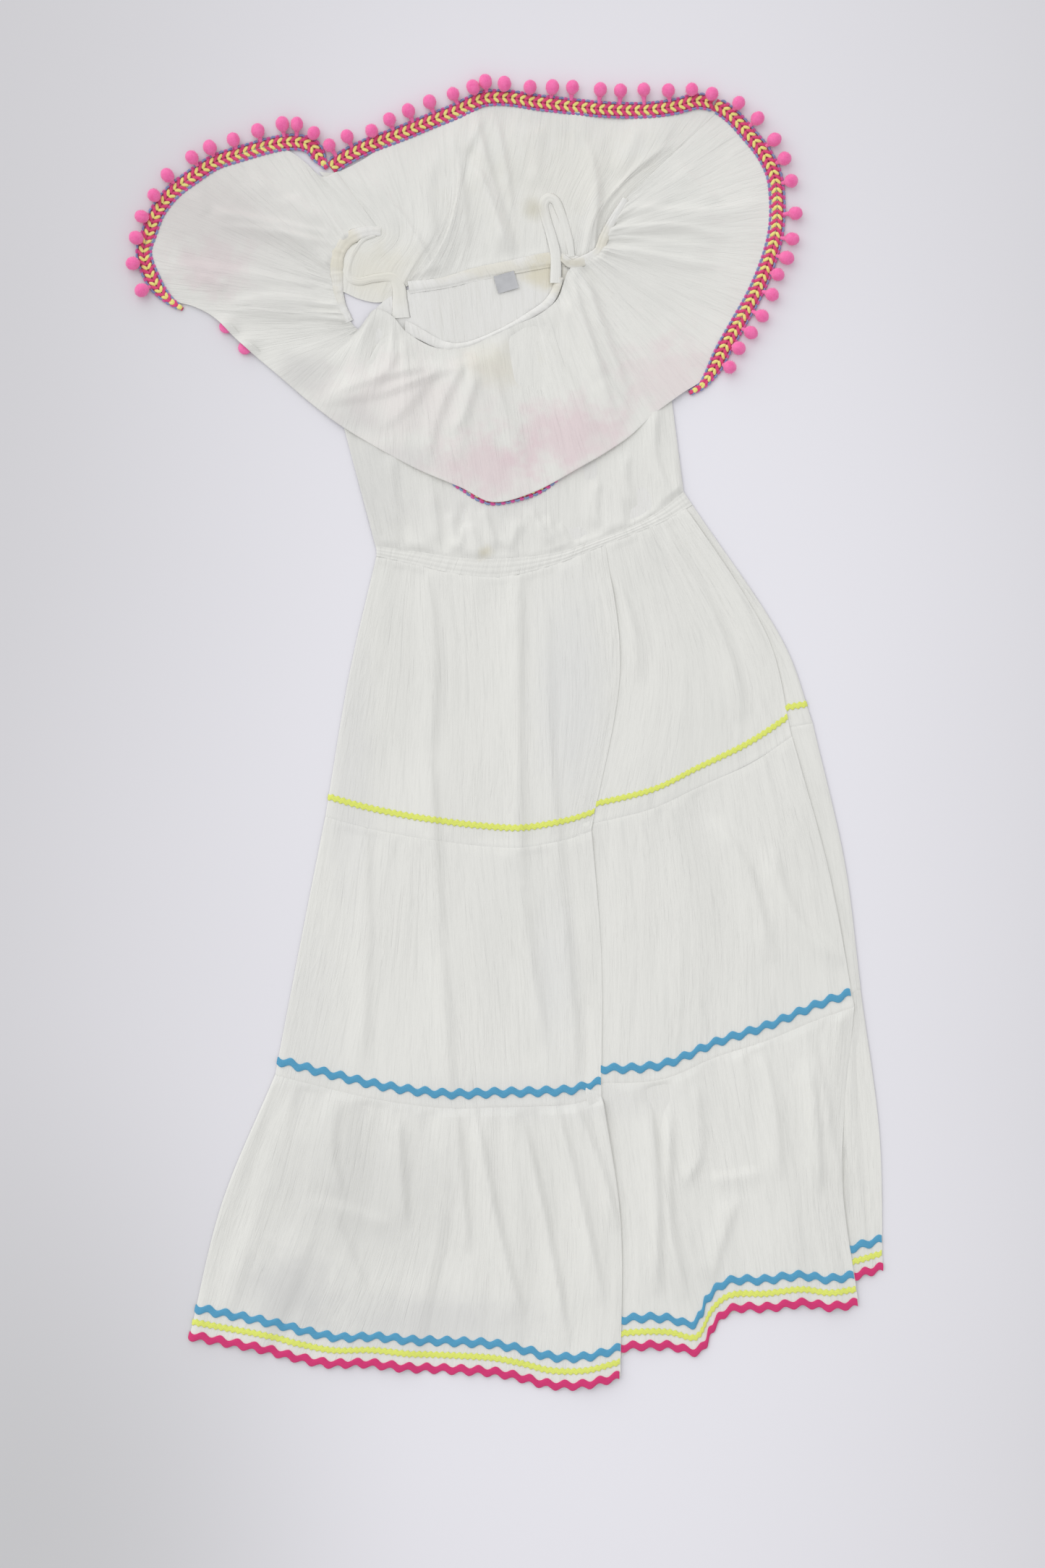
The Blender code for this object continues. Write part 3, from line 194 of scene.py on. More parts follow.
MIDDLE_TIER = tuple(Station(*row) for row in (
    (-162, -76, -185, -193, -207, -308, 0, 0), (-129, -85, -144, -206, -168, -318, 0, 0),
    (-90, -93, -100, -216, -110, -331, 0, 0), (-64, -97, -58, -210, -51, -338, 0, 0),
    (-25, -102, -12, -216, -6, -337, 0, 0), (15, -104, 25, -210, 32, -336, 0.5, 0),
    (50, -98, 60, -208, 60, -334, 2.9, 0), (77, -89, 86, -200, 86, -327, 3, 1),
    (65, -85, 73, -197, 72, -316, 0, 0), (131, -69, 140, -180, 140, -312, 0, 0),
    (170, -51, 186, -162, 189, -292, 0, 0), (216, -30, 232, -141, 235, -277, 0.3, 0),
    (238, -17, 266, -132, 281, -258, 2.9, 0), (257, -4, 290, -125, 313, -247, 3, 1),
    (243, 2, 276, -118, 299, -240, 0, 0), (276, 8, 305, -119, 319, -231, 0, 0),
))

BOTTOM_TIER = tuple(Station(*row) for row in (
    (-207, -308, -255, -424, -284, -543, 0, 0), (-181, -316, -215, -434, -253, -549, 0, 0),
    (-151, -323, -178, -440, -223, -554, 0, 0), (-125, -329, -148, -447, -192, -562, 0, 0),
    (-100, -332, -118, -450, -161, -568, 0, 0), (-74, -336, -90, -453, -125, -568, 0, 0),
    (-50, -338, -61, -455, -86, -572, 0, 0), (-6, -337, -5, -459, -12, -576, 0, 0),
    (17, -336, 23, -460, 14, -581, 0, 0), (36, -335, 48, -461, 38, -587, 0.5, 0),
    (60, -334, 76, -455, 69, -587, 2.9, 0), (86, -327, 103, -438, 103, -579, 3, 1),
    (72, -316, 85, -430, 80, -557, 0, 0), (106, -317, 121, -426, 126, -552, 0, 0),
    (124, -316, 135, -418, 150, -553, 0, 0), (135, -313, 147, -408, 174, -557, 0, 0),
    (147, -309, 160, -401, 188, -533, 0, 0), (170, -298, 186, -392, 202, -520, 0, 0),
    (202, -289, 218, -385, 236, -518, 0, 0), (235, -277, 251, -380, 267, -514, 0.3, 0),
    (281, -258, 278, -377, 291, -517, 2.9, 0), (313, -247, 302, -401, 317, -514, 3, 1),
    (299, -240, 286, -396, 298, -494, 0, 0), (319, -231, 336, -362, 339, -482, 0, 0),
))

WAIST_CASING = tuple(Run(*row) for row in (
    (-116, 167, -116, 158), (-78, 162, -84, 151), (-44, 157, -49, 143), (-3, 156, -6, 139),
    (49, 162, 46, 151), (81, 173, 77, 163), (111, 184, 115, 178), (137, 198, 144, 190),
    (160, 216, 168, 204),
))

BODICE_FRONT = tuple(Run(*row) for row in (
    (-148, 284, -116, 168), (-129, 320, -98, 164), (-110, 354, -81, 162), (-90, 357, -64, 160),
    (-60, 342, -44, 157), (-34, 344, -22, 156), (-5, 357, 1, 156), (29, 373, 30, 160), (56, 392, 59, 166),
    (85, 372, 92, 177), (118, 340, 127, 193), (149, 301, 160, 216),
))

BODICE_BACK = tuple(Run(*row) for row in (
    (-148, 284, -116, 168), (-142, 333, -98, 164), (-125, 368, -81, 162), (-110, 387, -64, 160),
    (-86, 398, -44, 157), (-53, 403, -22, 156), (-22, 411, 1, 156), (10, 417, 30, 160),
    (56, 422, 59, 166), (92, 379, 92, 177), (124, 340, 127, 193), (149, 301, 160, 216),
))

NECK_CASING_BACK = tuple(Run(*row) for row in (
    (-88, 405, -86, 394), (-60, 408, -53, 399), (-29, 417, -22, 406), (4, 424, 10, 412),
    (40, 431, 45, 418), (58, 429, 60, 418), (68, 427, 70, 416),
))

NECK_CASING_FRONT = tuple(Run(*row) for row in (
    (-90, 370, -90, 358.5), (-82, 366, -79, 353), (-54, 351, -57, 343.5), (-38, 350, -36, 345),
    (-6, 362, -5, 358), (23, 379, 28, 374), (35, 388, 42, 384), (42, 399, 49, 397), (44, 408, 52, 408),
))

FLOUNCE_FRONT = tuple(Spoke(*row) for row in (
    (-112, 449, -151, 503, 0.6, 0.4, 0), (-122, 453, -163, 498, 0.6, 0.5, 0),
    (-136, 447, -180, 512, 0.5, 0.5, 1), (-142, 442, -194, 522, 0.5, 0.5, 1),
    (-148, 437, -212, 527, 0.5, 0.5, 1), (-154, 427, -245, 517, 0.5, 0.5, 1),
    (-157, 414, -292, 491, 0.5, 0.5, 1), (-156, 401, -322, 447, 0.5, 0.5, 1),
    (-152, 392, -323, 418, 0.5, 0.5, 1), (-147, 379, -306, 391, 0.5, 0.5, 1),
    (-144, 373, -279, 382, 0.5, 0.5, 0), (-141, 368, -262, 373, 0.5, 0.5, 0),
    (-138, 364, -238, 350, 0.5, 0.5, 0), (-134, 361, -205, 322, 0.9, 0.5, 0),
    (-127, 368, -172, 294, 2.6, 2, 0), (-118, 377, -148, 276, 3.1, 3.3, 0),
    (-102, 371, -110, 253, 3.1, 3.9, 0), (-89, 357, -78, 236, 3.1, 4.7, 0),
    (-60, 342, -40, 220, 3.1, 4.8, 0), (-32, 346, -12, 207, 3.1, 4.8, 0), (1, 360, 23, 215, 3.1, 4.8, 0),
    (30, 372, 70, 240, 3.1, 4.8, 0), (47, 386, 89, 251, 3.1, 4.4, 0), (53, 400, 111, 266, 3.1, 3.9, 0),
    (57, 411, 133, 286, 3.1, 3.5, 0), (64, 418, 157, 303, 3.1, 3.3, 1), (73, 424, 181, 320, 3.1, 0.6, 1),
    (81, 428, 205, 359, 2.6, 0.5, 1), (86, 434, 229, 408, 2.1, 0.5, 1), (89, 444, 243, 451, 1.6, 0.5, 1),
    (93, 452, 242, 496, 1.2, 0.5, 1), (99, 462, 222, 533, 0.8, 0.5, 1), (109, 479, 201, 556, 0.7, 0.5, 1),
    (112, 484, 196, 562, 0.7, 0.4, 1),
))

FLOUNCE_BACK = tuple(Reach(*row) for row in (
    (-155, 398, -148, 434, -123, 452, -168, 504), (-147, 396, -139, 434, -113, 448, -154, 503),
    (-131, 389, -120, 423, -100, 447, -129, 514), (-114, 386, -100, 416, -83, 444, -96, 537),
    (-99, 391, -81, 421, -64, 451, -67, 549), (-88, 401, -64, 431, -48, 470, -44, 557),
    (-60, 404, -42, 450, -32, 502, -20, 568), (-29, 412, -18, 463, -6, 515, 0, 570),
    (4, 419, 10, 470, 23, 518, 30, 565), (40, 425, 43, 476, 59, 518, 61, 562),
    (58, 424, 66, 470, 88, 518, 95, 559), (70, 421, 80, 463, 118, 515, 129, 559),
    (78, 423, 86, 470, 137, 524, 163, 566), (84, 428, 102, 477, 167, 532, 194, 560),
    (95, 430, 117, 470, 180, 524, 205, 552),
))

BRAID_LEFT = tuple(Spot(*row) for row in (
    (-290, 380), (-302, 388), (-313, 400), (-322, 418), (-325, 432), (-320, 449), (-313, 467),
    (-299, 485), (-281, 499), (-261, 512), (-240, 519), (-203, 529), (-186, 530), (-174, 526),
    (-167, 516), (-161, 507),
))

BRAID_BACK = tuple(Spot(*row) for row in (
    (-157, 507), (-148, 514), (-125, 526), (-96, 537), (-67, 549), (-44, 558), (-32, 564), (-20, 569),
    (0, 570), (27, 566), (61, 562), (95, 559), (129, 559), (152, 562), (173, 567), (186, 565),
))

BRAID_RIGHT = tuple(Spot(*row) for row in (
    (188, 564), (195, 560), (204, 553), (216, 540), (232, 520), (241, 501), (244, 479), (243, 451),
    (237, 426), (225, 396), (209, 367), (196, 344), (187, 326), (176, 311), (166, 305),
))

BRAID_FRONT = tuple(Spot(*row) for row in (
    (-49, 229), (-36, 222), (-24, 214), (-12, 210), (8, 213), (32, 221), (52, 234), (70, 243),
))

POMPOMS_LEFT = tuple(Spot(*row) for row in (
    (-326, 396), (-334, 420), (-331, 443), (-326, 462), (-315, 481), (-303, 499), (-281, 515),
    (-265, 524), (-244, 531), (-222, 539), (-200, 545), (-187, 545), (-172, 537),
))

POMPOMS_BACK = tuple(Spot(*row) for row in (
    (-158, 526), (-142, 534), (-120, 539), (-104, 549), (-87, 557), (-68, 565), (-47, 572), (-29, 578),
    (-18, 583), (-1, 581), (22, 578), (42, 578), (60, 578), (85, 576), (103, 575), (124, 576), (146, 575),
    (167, 576), (185, 572),
))

POMPOMS_RIGHT = tuple(Spot(*row) for row in (
    (209, 564), (226, 550), (241, 531), (250, 514), (256, 494), (260, 465), (257, 442), (252, 425),
    (244, 410), (239, 392), (230, 373), (220, 358), (209, 344), (201, 327),
))

STRAP_LEFT = tuple(Lace(*row) for row in (
    (-94, 372, 2.3, 15), (-95, 388, 2.3, 12.5), (-96, 400, 2.3, 11), (-101, 408, 2.2, 8.5),
    (-116, 408, 2.1, 7), (-133, 405, 2, 7), (-141, 409, 1.9, 6.5), (-140, 421, 1.8, 5),
    (-135, 433, 1.8, 4.5), (-127, 443, 1.8, 4), (-117, 447, 1.8, 4),
))

STRAP_RIGHT = tuple(Lace(*row) for row in (
    (45, 403, 4, 8.5), (45, 428, 3.2, 8), (41, 446, 2.4, 7.5), (36, 463, 2, 7.5), (34, 474, 1.9, 8),
    (38, 480, 1.9, 7.5), (44, 478, 1.9, 7), (49, 468, 1.9, 7), (53.5, 455, 1.9, 6.5), (57.5, 440, 2.2, 6),
    (59.5, 427, 2.6, 5),
))

SLEEVE_CASING_LEFT = tuple(Lace(*row) for row in (
    (-112, 450, 1.9, 7), (-122, 450, 2, 8), (-134, 447, 2.1, 9.5), (-144, 440, 2.1, 10),
    (-150, 430, 2.1, 10), (-152, 418, 2.1, 10), (-151, 406, 2.1, 9), (-150, 395, 2, 7),
    (-146, 382, 1.9, 6), (-140, 369, 1.8, 6),
))

SLEEVE_CASING_RIGHT = tuple(Lace(*row) for row in (
    (51, 426, 3.6, 6), (60, 420, 3.7, 7), (67, 422, 3.7, 7.5), (76, 426, 3.6, 7.5), (84, 432, 3.4, 7.5),
    (88, 443, 3.1, 7), (93, 454, 2.8, 6.5), (100, 466, 2.5, 6), (108, 479, 2.2, 5),
))

SKIRT_CREASES = tuple(Crease(*row) for row in (
    (-71, 140, -63, 73, -67, -24, 9, 1.5), (-67, -24, -64, -97, -58, -187, 9, 1.8),
    (-58, -187, -54, -250, -50, -325, 9, 1.4), (12, 138, 12, -24, 15, -138, 8, 1.8),
    (15, -138, 24, -210, 34, -275, 9, 1.5), (36, 110, 40, -24, 52, -150, 9, 1.2),
    (52, -150, 58, -220, 64, -300, 8, 1.3), (140, 187, 186, 106, 216, 19, 9, 1.9),
    (163, 197, 200, 140, 232, 72, 9, 1.3), (98, 138, 113, 99, 120, 50, 8, 1.2),
    (-126, -90, -124, -187, -129, -300, 9, 1.2), (192, -82, 216, -121, 239, -201, 8, 1.9),
    (239, -110, 261, -166, 300, -205, 8, 1.9), (-151, -330, -156, -374, -148, -416, 9, 1.7),
    (-176, -421, -153, -426, -105, -441, 8, 1.2), (-158, -427, -139, -470, -126, -505, 9, 1.3),
    (-44, -346, -39, -395, -34, -463, 6, 1.6), (-27, -340, -7, -442, 14, -520, 6, 2.2),
    (17, -353, 41, -463, 55, -545, 6, 2.4), (45, -333, 65, -408, 86, -504, 6, 2.2),
    (62, -333, 83, -381, 100, -442, 5, 1.8), (-96, -346, -93, -395, -89, -443, 6, 1.6),
    (131, -340, 136, -422, 136, -500, 7, 2.6), (148, -340, 148, -436, 160, -505, 6, 2.2),
    (172, -319, 175, -381, 163, -405, 6, 1.5), (273, -298, 280, -367, 282, -408, 6, 2),
    (228, -283, 240, -325, 246, -397, 8, 1.7), (183, -401, 205, -399, 228, -395, 6, 1),
    (207, -422, 190, -470, 187, -490, 8, 1.5), (272, -270, 288, -340, 299, -400, 9, 1.4),
))

BODICE_CREASES = tuple(Crease(*row) for row in (
    (-48, 196, -46, 182, -44, 162, 6, 1.4), (-31, 186, -27, 174, -20, 158, 6, 1.3),
    (14, 188, 9, 178, 3, 164, 7, 1.6), (38, 192, 43, 180, 50, 166, 7, 1.6),
    (-140, 240, -128, 210, -114, 178, 6, 1.2), (136, 290, 134, 250, 146, 214, 6, 1.5),
    (-37, 186, -39, 176, -41, 164, 4, 1.3), (-34, 205, -38, 188, -42, 170, 4, -1.2),
    (-19, 200, -14, 184, -8, 166, 5, 1.5), (23, 202, 31, 186, 42, 170, 5, 1.6),
    (49, 186, 54, 178, 59, 170, 4, 1.4), (-66, 215, -62, 196, -60, 172, 6, 1.1),
    (84, 225, 80, 205, 84, 186, 6, 1.2), (110, 250, 108, 225, 116, 204, 6, 1.2),
    (-100, 250, -100, 220, -92, 186, 7, 1),
))

FLOUNCE_FRONT_CREASES = tuple(Crease(*row) for row in (
    (-300, 421, -240, 412, -176, 400, 9, 1.6), (-262, 470, -215, 455, -174, 438, 9, 1.6),
    (-225, 500, -195, 480, -166, 460, 9, 1.4), (-245, 385, -205, 391, -172, 388, 9, 1.2),
    (-95, 345, -120, 310, -165, 296, 9, 1.5), (-60, 330, -90, 290, -118, 270, 9, 1.3),
    (-30, 335, -34, 290, -44, 240, 9, 1), (30, 362, 60, 310, 84, 262, 9, 1.4),
    (46, 395, 76, 358, 92, 316, 9, 1.7), (92, 316, 100, 300, 112, 280, 9, 1.4),
    (112, 470, 180, 467, 234, 478, 9, 1.7), (160, 440, 200, 400, 215, 370, 10, 1),
    (-277, 485, -272, 477, -266, 468, 5, 1.4), (-212, 520, -203, 500, -190, 482, 9, -1.5),
    (-262, 468, -210, 459, -160, 448, 4.5, 1.2), (-254, 456, -205, 449, -160, 440, 4, 1.1),
    (-275, 410, -264, 406, -252, 401, 5, 1.2), (-71, 327, -113, 318, -158, 302, 6, 1.4),
    (-46, 327, -104, 306, -168, 293, 6, 1.3), (-25, 319, -38, 281, -46, 268, 6, 1.2),
    (58, 412, 78, 345, 96, 290, 6, 2.3), (72, 408, 92, 350, 112, 300, 6, 2.2),
    (-34, 338, -58, 290, -72, 240, 7, 1.5), (-18, 340, 0, 290, 18, 240, 7, 1.3),
    (100, 452, 150, 455, 196, 447, 4, 1.2), (98, 445, 140, 441, 186, 436, 3.5, 1.1),
    (98, 437, 150, 425, 200, 420, 4, 1), (150, 520, 164, 500, 190, 478, 7, 1.6),
))

FLOUNCE_BACK_CREASES = tuple(Crease(*row) for row in (
    (-27, 552, -10, 489, 10, 426, 6, 2.2), (-8, 552, 2, 500, 8, 460, 5, 1.6),
    (-133, 506, -96, 468, -63, 416, 5, 1.8), (76, 526, 83, 482, 79, 446, 6, 1.8),
    (-51, 544, -41, 502, -34, 441, 7, 1.3), (-24, 505, -8, 462, 2, 436, 7, 1.7),
    (-36, 524, -14, 480, 2, 432, 7, 1.2), (88, 540, 84, 500, 78, 462, 9, 1.2),
    (88, 468, 110, 498, 150, 530, 7, 0.7), (-140, 505, -118, 482, -96, 455, 7, 0.7),
    (-62, 520, -70, 480, -60, 430, 10, 1.3), (30, 545, 26, 515, 30, 490, 12, 1.4),
    (58, 545, 56, 500, 62, 470, 9, -1.2), (120, 545, 112, 520, 100, 500, 9, 1.1),
    (-20, 555, -26, 540, -38, 520, 8, 1.2),
))


def srgb(red: int, green: int, blue: int) -> tuple[float, float, float]:
    """Linear colour, from 0 to 1, of an 8-bit display colour."""
    return tuple(
        (c / 255 / 12.92) if c <= 10 else ((c / 255 + 0.055) / 1.055) ** 2.4
        for c in (red, green, blue))


def ease(share: Array) -> Array:
    """Ease from 0 to 1."""
    share = np.clip(share, 0.0, 1.0)
    return share * share * (3.0 - 2.0 * share)


def length_of(vectors: Array) -> Array:
    """Lengths along the last axis, kept as an axis."""
    return np.maximum(np.linalg.norm(vectors, axis=-1, keepdims=True), 1e-6)


def flow(points: Array, positions: Array) -> Array:
    """Points on the smooth curve through points, at positions counted in spans.

    Args:
        points: Points to pass through, or rows of them.
        positions: Places counted in spans from the first point.

    Returns:
        A point for each position.
    """
    points = np.asarray(points, float)
    positions = np.asarray(positions, float)
    ring = np.concatenate([[2 * points[0] - points[1]], points, [2 * points[-1] - points[-2]]])
    index = np.clip(positions.astype(int), 0, len(points) - 2)
    share = (positions - index).reshape((-1,) + (1,) * (points.ndim - 1))
    before, start, end, after = (ring[index + k] for k in range(4))
    t_start = length_of(start - before) ** 0.5
    t_end = t_start + length_of(end - start) ** 0.5
    t_after = t_end + length_of(after - end) ** 0.5
    t = t_start + share * (t_end - t_start)
    a1 = before + (start - before) * t / t_start
    a2 = start + (end - start) * (t - t_start) / (t_end - t_start)
    a3 = end + (after - end) * (t - t_end) / (t_after - t_end)
    b1 = a1 + (a2 - a1) * t / t_end
    b2 = a2 + (a3 - a2) * (t - t_start) / (t_after - t_start)
    return b1 + (b2 - b1) * (t - t_start) / (t_end - t_start)


def run_length(line: Array) -> Array:
    """Distance along a line of points, from its start."""
    return np.concatenate([[0.0], np.cumsum(np.linalg.norm(np.diff(line, axis=0), axis=1))])


def even_line(points: Sequence[Sequence[float]], step: float) -> Array:
    """Points at equal steps on the smooth curve through points.

    Args:
        points: Points to pass through.
        step: Distance between the results.

    Returns:
        Points in order.
    """
    dense = flow(points, np.linspace(0, len(points) - 1, 24 * (len(points) - 1) + 1))
    total = run_length(dense)
    marks = np.linspace(0, total[-1], max(2, round(total[-1] / step) + 1))
    return np.stack([np.interp(marks, total, column) for column in dense.T], 1)


def nearest_on(line: Array, points: Array) -> Array:
    """The places on a line in plan nearest to each of some points.

    Args:
        line: Points of the line.
        points: Places to start from.

    Returns:
        A place on the line for each point.
    """
    start = line[None, :-1, :2]
    run = (line[1:, :2] - line[:-1, :2])[None]
    offset = points[:, None, :2] - start
    share = np.clip((offset * run).sum(-1) / np.maximum((run * run).sum(-1), 1e-9), 0, 1)
    places = start + run * share[..., None]
    best = np.linalg.norm(points[:, None, :2] - places, axis=-1).argmin(1)
    return places[np.arange(len(points)), best]


def distance_to(line: Array, x: Array, y: Array) -> Array:
    """Distance in plan from places to a line, positive on its left.

    Args:
        line: Points of the line.
        x: X of each place.
        y: Y of each place.

    Returns:
        A signed distance for each place.
    """
    signed = np.full(x.shape, 1e9)
    for start, end in zip(line[:-1], line[1:]):
        run_x = end[0] - start[0]
        run_y = end[1] - start[1]
        square = max(run_x * run_x + run_y * run_y, 1e-9)
        share = np.clip(((x - start[0]) * run_x + (y - start[1]) * run_y) / square, 0, 1)
        off_x = x - start[0] - share * run_x
        off_y = y - start[1] - share * run_y
        distance = np.hypot(off_x, off_y)
        side = np.where(run_x * off_y < run_y * off_x, -1.0, 1.0)
        signed = np.where(distance < np.abs(signed), distance * side, signed)
    return signed


class Grain:
    """Repeatable smooth noise over a plane, from -1 to 1."""

    def __init__(self, seed: int) -> None:
        """Draw the table of random numbers."""
        self.table = np.random.default_rng(seed).uniform(-1.0, 1.0, (128, 128))

    def at(self, x: Array, y: Array) -> Array:
        """Noise at places counted in cells.

        Args:
            x: X in cells.
            y: Y in cells.

        Returns:
            A number for each place.
        """
        x, y = np.broadcast_arrays(np.asarray(x, float), np.asarray(y, float))
        column = np.floor(x).astype(int)
        row = np.floor(y).astype(int)
        right = ease(x - column)
        up = ease(y - row)
        cell = [[self.table[(row + j) % 128, (column + i) % 128] for i in (0, 1)] for j in (0, 1)]
        low = cell[0][0] * (1 - right) + cell[0][1] * right
        high = cell[1][0] * (1 - right) + cell[1][1] * right
        return low * (1 - up) + high * up

    def layered(self, x: Array, y: Array, layers: int) -> Array:
        """Noise with finer and weaker layers added.

        Args:
            x: X in cells.
            y: Y in cells.
            layers: How many layers.

        Returns:
            A number for each place.
        """
        total = np.zeros(np.broadcast(x, y).shape)
        for layer in range(layers):
            scale = 2.0 ** layer
            total = total + self.at(x * scale + 17.3 * layer, y * scale + 5.1 * layer) / scale
        return total


def crease_field(creases: Sequence[Crease], x: Array, y: Array) -> Array:
    """Height that soft folds add at places in plan.

    Args:
        creases: The folds.
        x: X of each place.
        y: Y of each place.

    Returns:
        A height for each place.
    """
    height = np.zeros(x.shape)
    for crease in creases:
        line = even_line([crease[0:2], crease[2:4], crease[4:6]], 12.0)
        reach = 4.5 * crease.width
        low = line.min(0) - reach
        high = line.max(0) + reach
        near = (x > low[0]) & (x < high[0]) & (y > low[1]) & (y < high[1])
        if not near.any():
            continue
        own_x = x[near]
        own_y = y[near]
        distance = distance_to(line, own_x, own_y)
        distance = np.where(distance > 0, distance / STEEP_SIDE, -distance / LONG_SIDE)
        axis = line[-1] - line[0]
        share = ((own_x - line[0, 0]) * axis[0] + (own_y - line[0, 1]) * axis[1]) / (axis @ axis)
        fade = ease((share + 0.12) / 0.3) * ease((1.12 - share) / 0.3)
        height[near] += crease.height * fade * np.exp(-(distance / crease.width) ** 2)
    return height


class Edge(Enum):
    """An edge of a laid sheet."""

    TOP = "top"
    LOW = "low"


class Laid:
    """A laid sheet of cloth: rows from its top to its low edge, columns left to right."""

    def __init__(self, points: Array) -> None:
        """Measure the sheet down its columns and across its middle.

        Args:
            points: Rows and columns of points.
        """
        self.points = points
        steps = np.linalg.norm(np.diff(points[:, :, :2], axis=0), axis=2)
        self.down = np.concatenate([np.zeros((1, points.shape[1])), np.cumsum(steps, axis=0)])
        middle = points[points.shape[0] // 2, :, :2]
        self.across = run_length(middle)
        self.mask = np.ones(points.shape[:2])

    @property
    def rise(self) -> Array:
        """Distance of each point from the low edge, along its column."""
        return self.down[-1] - self.down

    def away(self, edge: Edge, hidden: float = 0.0) -> Array:
        """Distance of each point from an edge, or from the seam that hides cloth beside it."""
        return (self.down if edge is Edge.TOP else self.rise) - hidden

    def lift(self, height: Array) -> None:
        """Raise the sheet, where it isn't held down."""
        self.points[:, :, 2] += height * self.mask

    def fold(self, creases: Sequence[Crease]) -> None:
        """Raise listed soft folds."""
        self.lift(FOLD_GAIN * crease_field(creases, self.points[:, :, 0], self.points[:, :, 1]))

    def hold(self, edge: Edge, reach: float, hidden: float = 0.0) -> None:
        """Hold the sheet down beside a seam, so that both of its sides meet there."""
        self.mask = self.mask * ease(self.away(edge, hidden) / reach)

    def clamp(self, low: float) -> None:
        """Keep the sheet above a height."""
        self.points[:, :, 2] = np.maximum(self.points[:, :, 2], low)

    def roll(self, column: int, reach: float, low: float) -> None:
        """Round the fold at the first or last column down to a height."""
        side = self.points[:, column:column + 1 or None, :2]
        self.round_down(np.linalg.norm(self.points[:, :, :2] - side, axis=2) / reach, low)

    def round_down(self, share: Array, low: float) -> None:
        """Round the sheet down to a height where a share from its side falls to 0."""
        curve = np.sqrt(1.0 - (1.0 - np.clip(share, 0, 1)) ** 2)
        self.points[:, :, 2] = low + (self.points[:, :, 2] - low) * curve

    def underlap(self, reach: float, drop: float) -> None:
        """Carry the top edge on beneath its neighbour.

        Args:
            reach: How far it goes on.
            drop: How much lower it lies.
        """
        away = self.points[0] - self.points[1]
        row = self.points[0] + away / length_of(away) * reach
        row[:, 2] = self.points[0, :, 2] - drop
        self.points = np.concatenate([row[None], self.points])

    def gather(self, edge: Edge, height: float, reach: float, pitch: float, seed: int,
               hidden: float = 0.0) -> None:
        """Raise small gathers beside an edge, which die away and merge from it.

        Args:
            edge: The gathered edge.
            height: Height of the gathers.
            reach: How far they reach from the edge.
            pitch: Width of one gather.
            seed: Start of the noise.
            hidden: Cloth beyond the seam.
        """
        away = np.maximum(self.away(edge, hidden), 0.0)
        grain = Grain(seed)
        across = np.broadcast_to(self.across, away.shape)
        fine = grain.at(across / pitch, away / (reach * 2.0))
        broad = grain.at(across / (pitch * 2.3) + 40.0, away / (reach * 2.5))
        near = np.exp(-away / (reach * 0.45))
        far = np.exp(-away / reach)
        shape = 0.75 * np.maximum(fine, -0.6) * near + 0.75 * broad * far
        seam = ease(away / np.where(shape < 0.0, 9.0, 2.5))
        self.lift(height * seam * shape)

    def ripple(self, height: float, width: float, length: float, seed: int) -> None:
        """Raise long uneven ripples down the sheet.

        Args:
            height: Height of the ripples.
            width: Width of one ripple.
            length: Length of one ripple.
            seed: Start of the noise.
        """
        across = np.broadcast_to(self.across, self.down.shape)
        grain = Grain(seed)
        drift = 0.35 * grain.at(across / (3 * width), self.down / length)
        self.lift(height * grain.layered(across / width + drift, self.down / length, 2))

    def tuck(self, edge: Edge, depth: float, reach: float, hidden: float = 0.0) -> None:
        """Sink the sheet beside a seam."""
        self.points[:, :, 2] -= depth * (1.0 - ease(self.away(edge, hidden) / reach))

    def place(self, name: str, node: str, cotton: Material, held: str,
              length: float = 0.0, full: float = CRINKLE_FULLNESS, **rests: object) -> None:
        """Make the sheet's mesh and put it in the scene.

        Args:
            name: Name of the piece.
            node: The solid that it stands for.
            cotton: Its finish.
            held: How the cloth is held; not used.
            length: Length of the panel; not used.
            full: Cloth for each unit of width; not used.
            **rests: The solids that it rests on, where it has them; not used.
        """
        uv = np.stack(np.broadcast_arrays(self.across[None, :], self.down), -1)
        piece = add_piece(name, grid_mesh(name, self.points, uv), [cotton], [node])

    def normals(self) -> Array:
        """Unit normals, pointing up.

        Returns:
            A vector for each point.
        """
        across = np.gradient(self.points, axis=1)
        down = np.gradient(self.points, axis=0)
        normal = np.cross(down, across)
        normal = normal / length_of(normal)
        return normal * np.where(normal[..., 2:] < 0, -1.0, 1.0)

    def sample(self, columns: Array, rises: Array) -> tuple[Array, Array]:
        """Points and normals at places counted in columns and in rise above the low edge.

        Args:
            columns: Places counted in columns.
            rises: Distances above the low edge.

        Returns:
            Points, and the normals there.
        """
        rise = self.rise
        j = np.clip(np.floor(columns).astype(int), 0, rise.shape[1] - 2)
        right = np.clip(columns - j, 0.0, 1.0)
        profiles = rise[:, j] * (1 - right) + rise[:, j + 1] * right
        numbers = np.arange(len(rise))
        row = np.array([np.interp(-h, -p, numbers) for h, p in zip(rises, profiles.T)])
        i = np.minimum(row.astype(int), len(rise) - 2)
        step = np.maximum(profiles[-2] - profiles[-1], 0.05)
        down = row - i + np.where(rises < 0.0, -rises / step, 0.0)
        right = right[:, None]
        results = []
        for grid, share in ((self.points, down), (self.normals(), np.minimum(down, 1.0))):
            above = grid[i, j] * (1 - right) + grid[i, j + 1] * right
            below = grid[i + 1, j] * (1 - right) + grid[i + 1, j + 1] * right
            results.append(above * (1 - share[:, None]) + below * share[:, None])
        return results[0], results[1] / length_of(results[1])


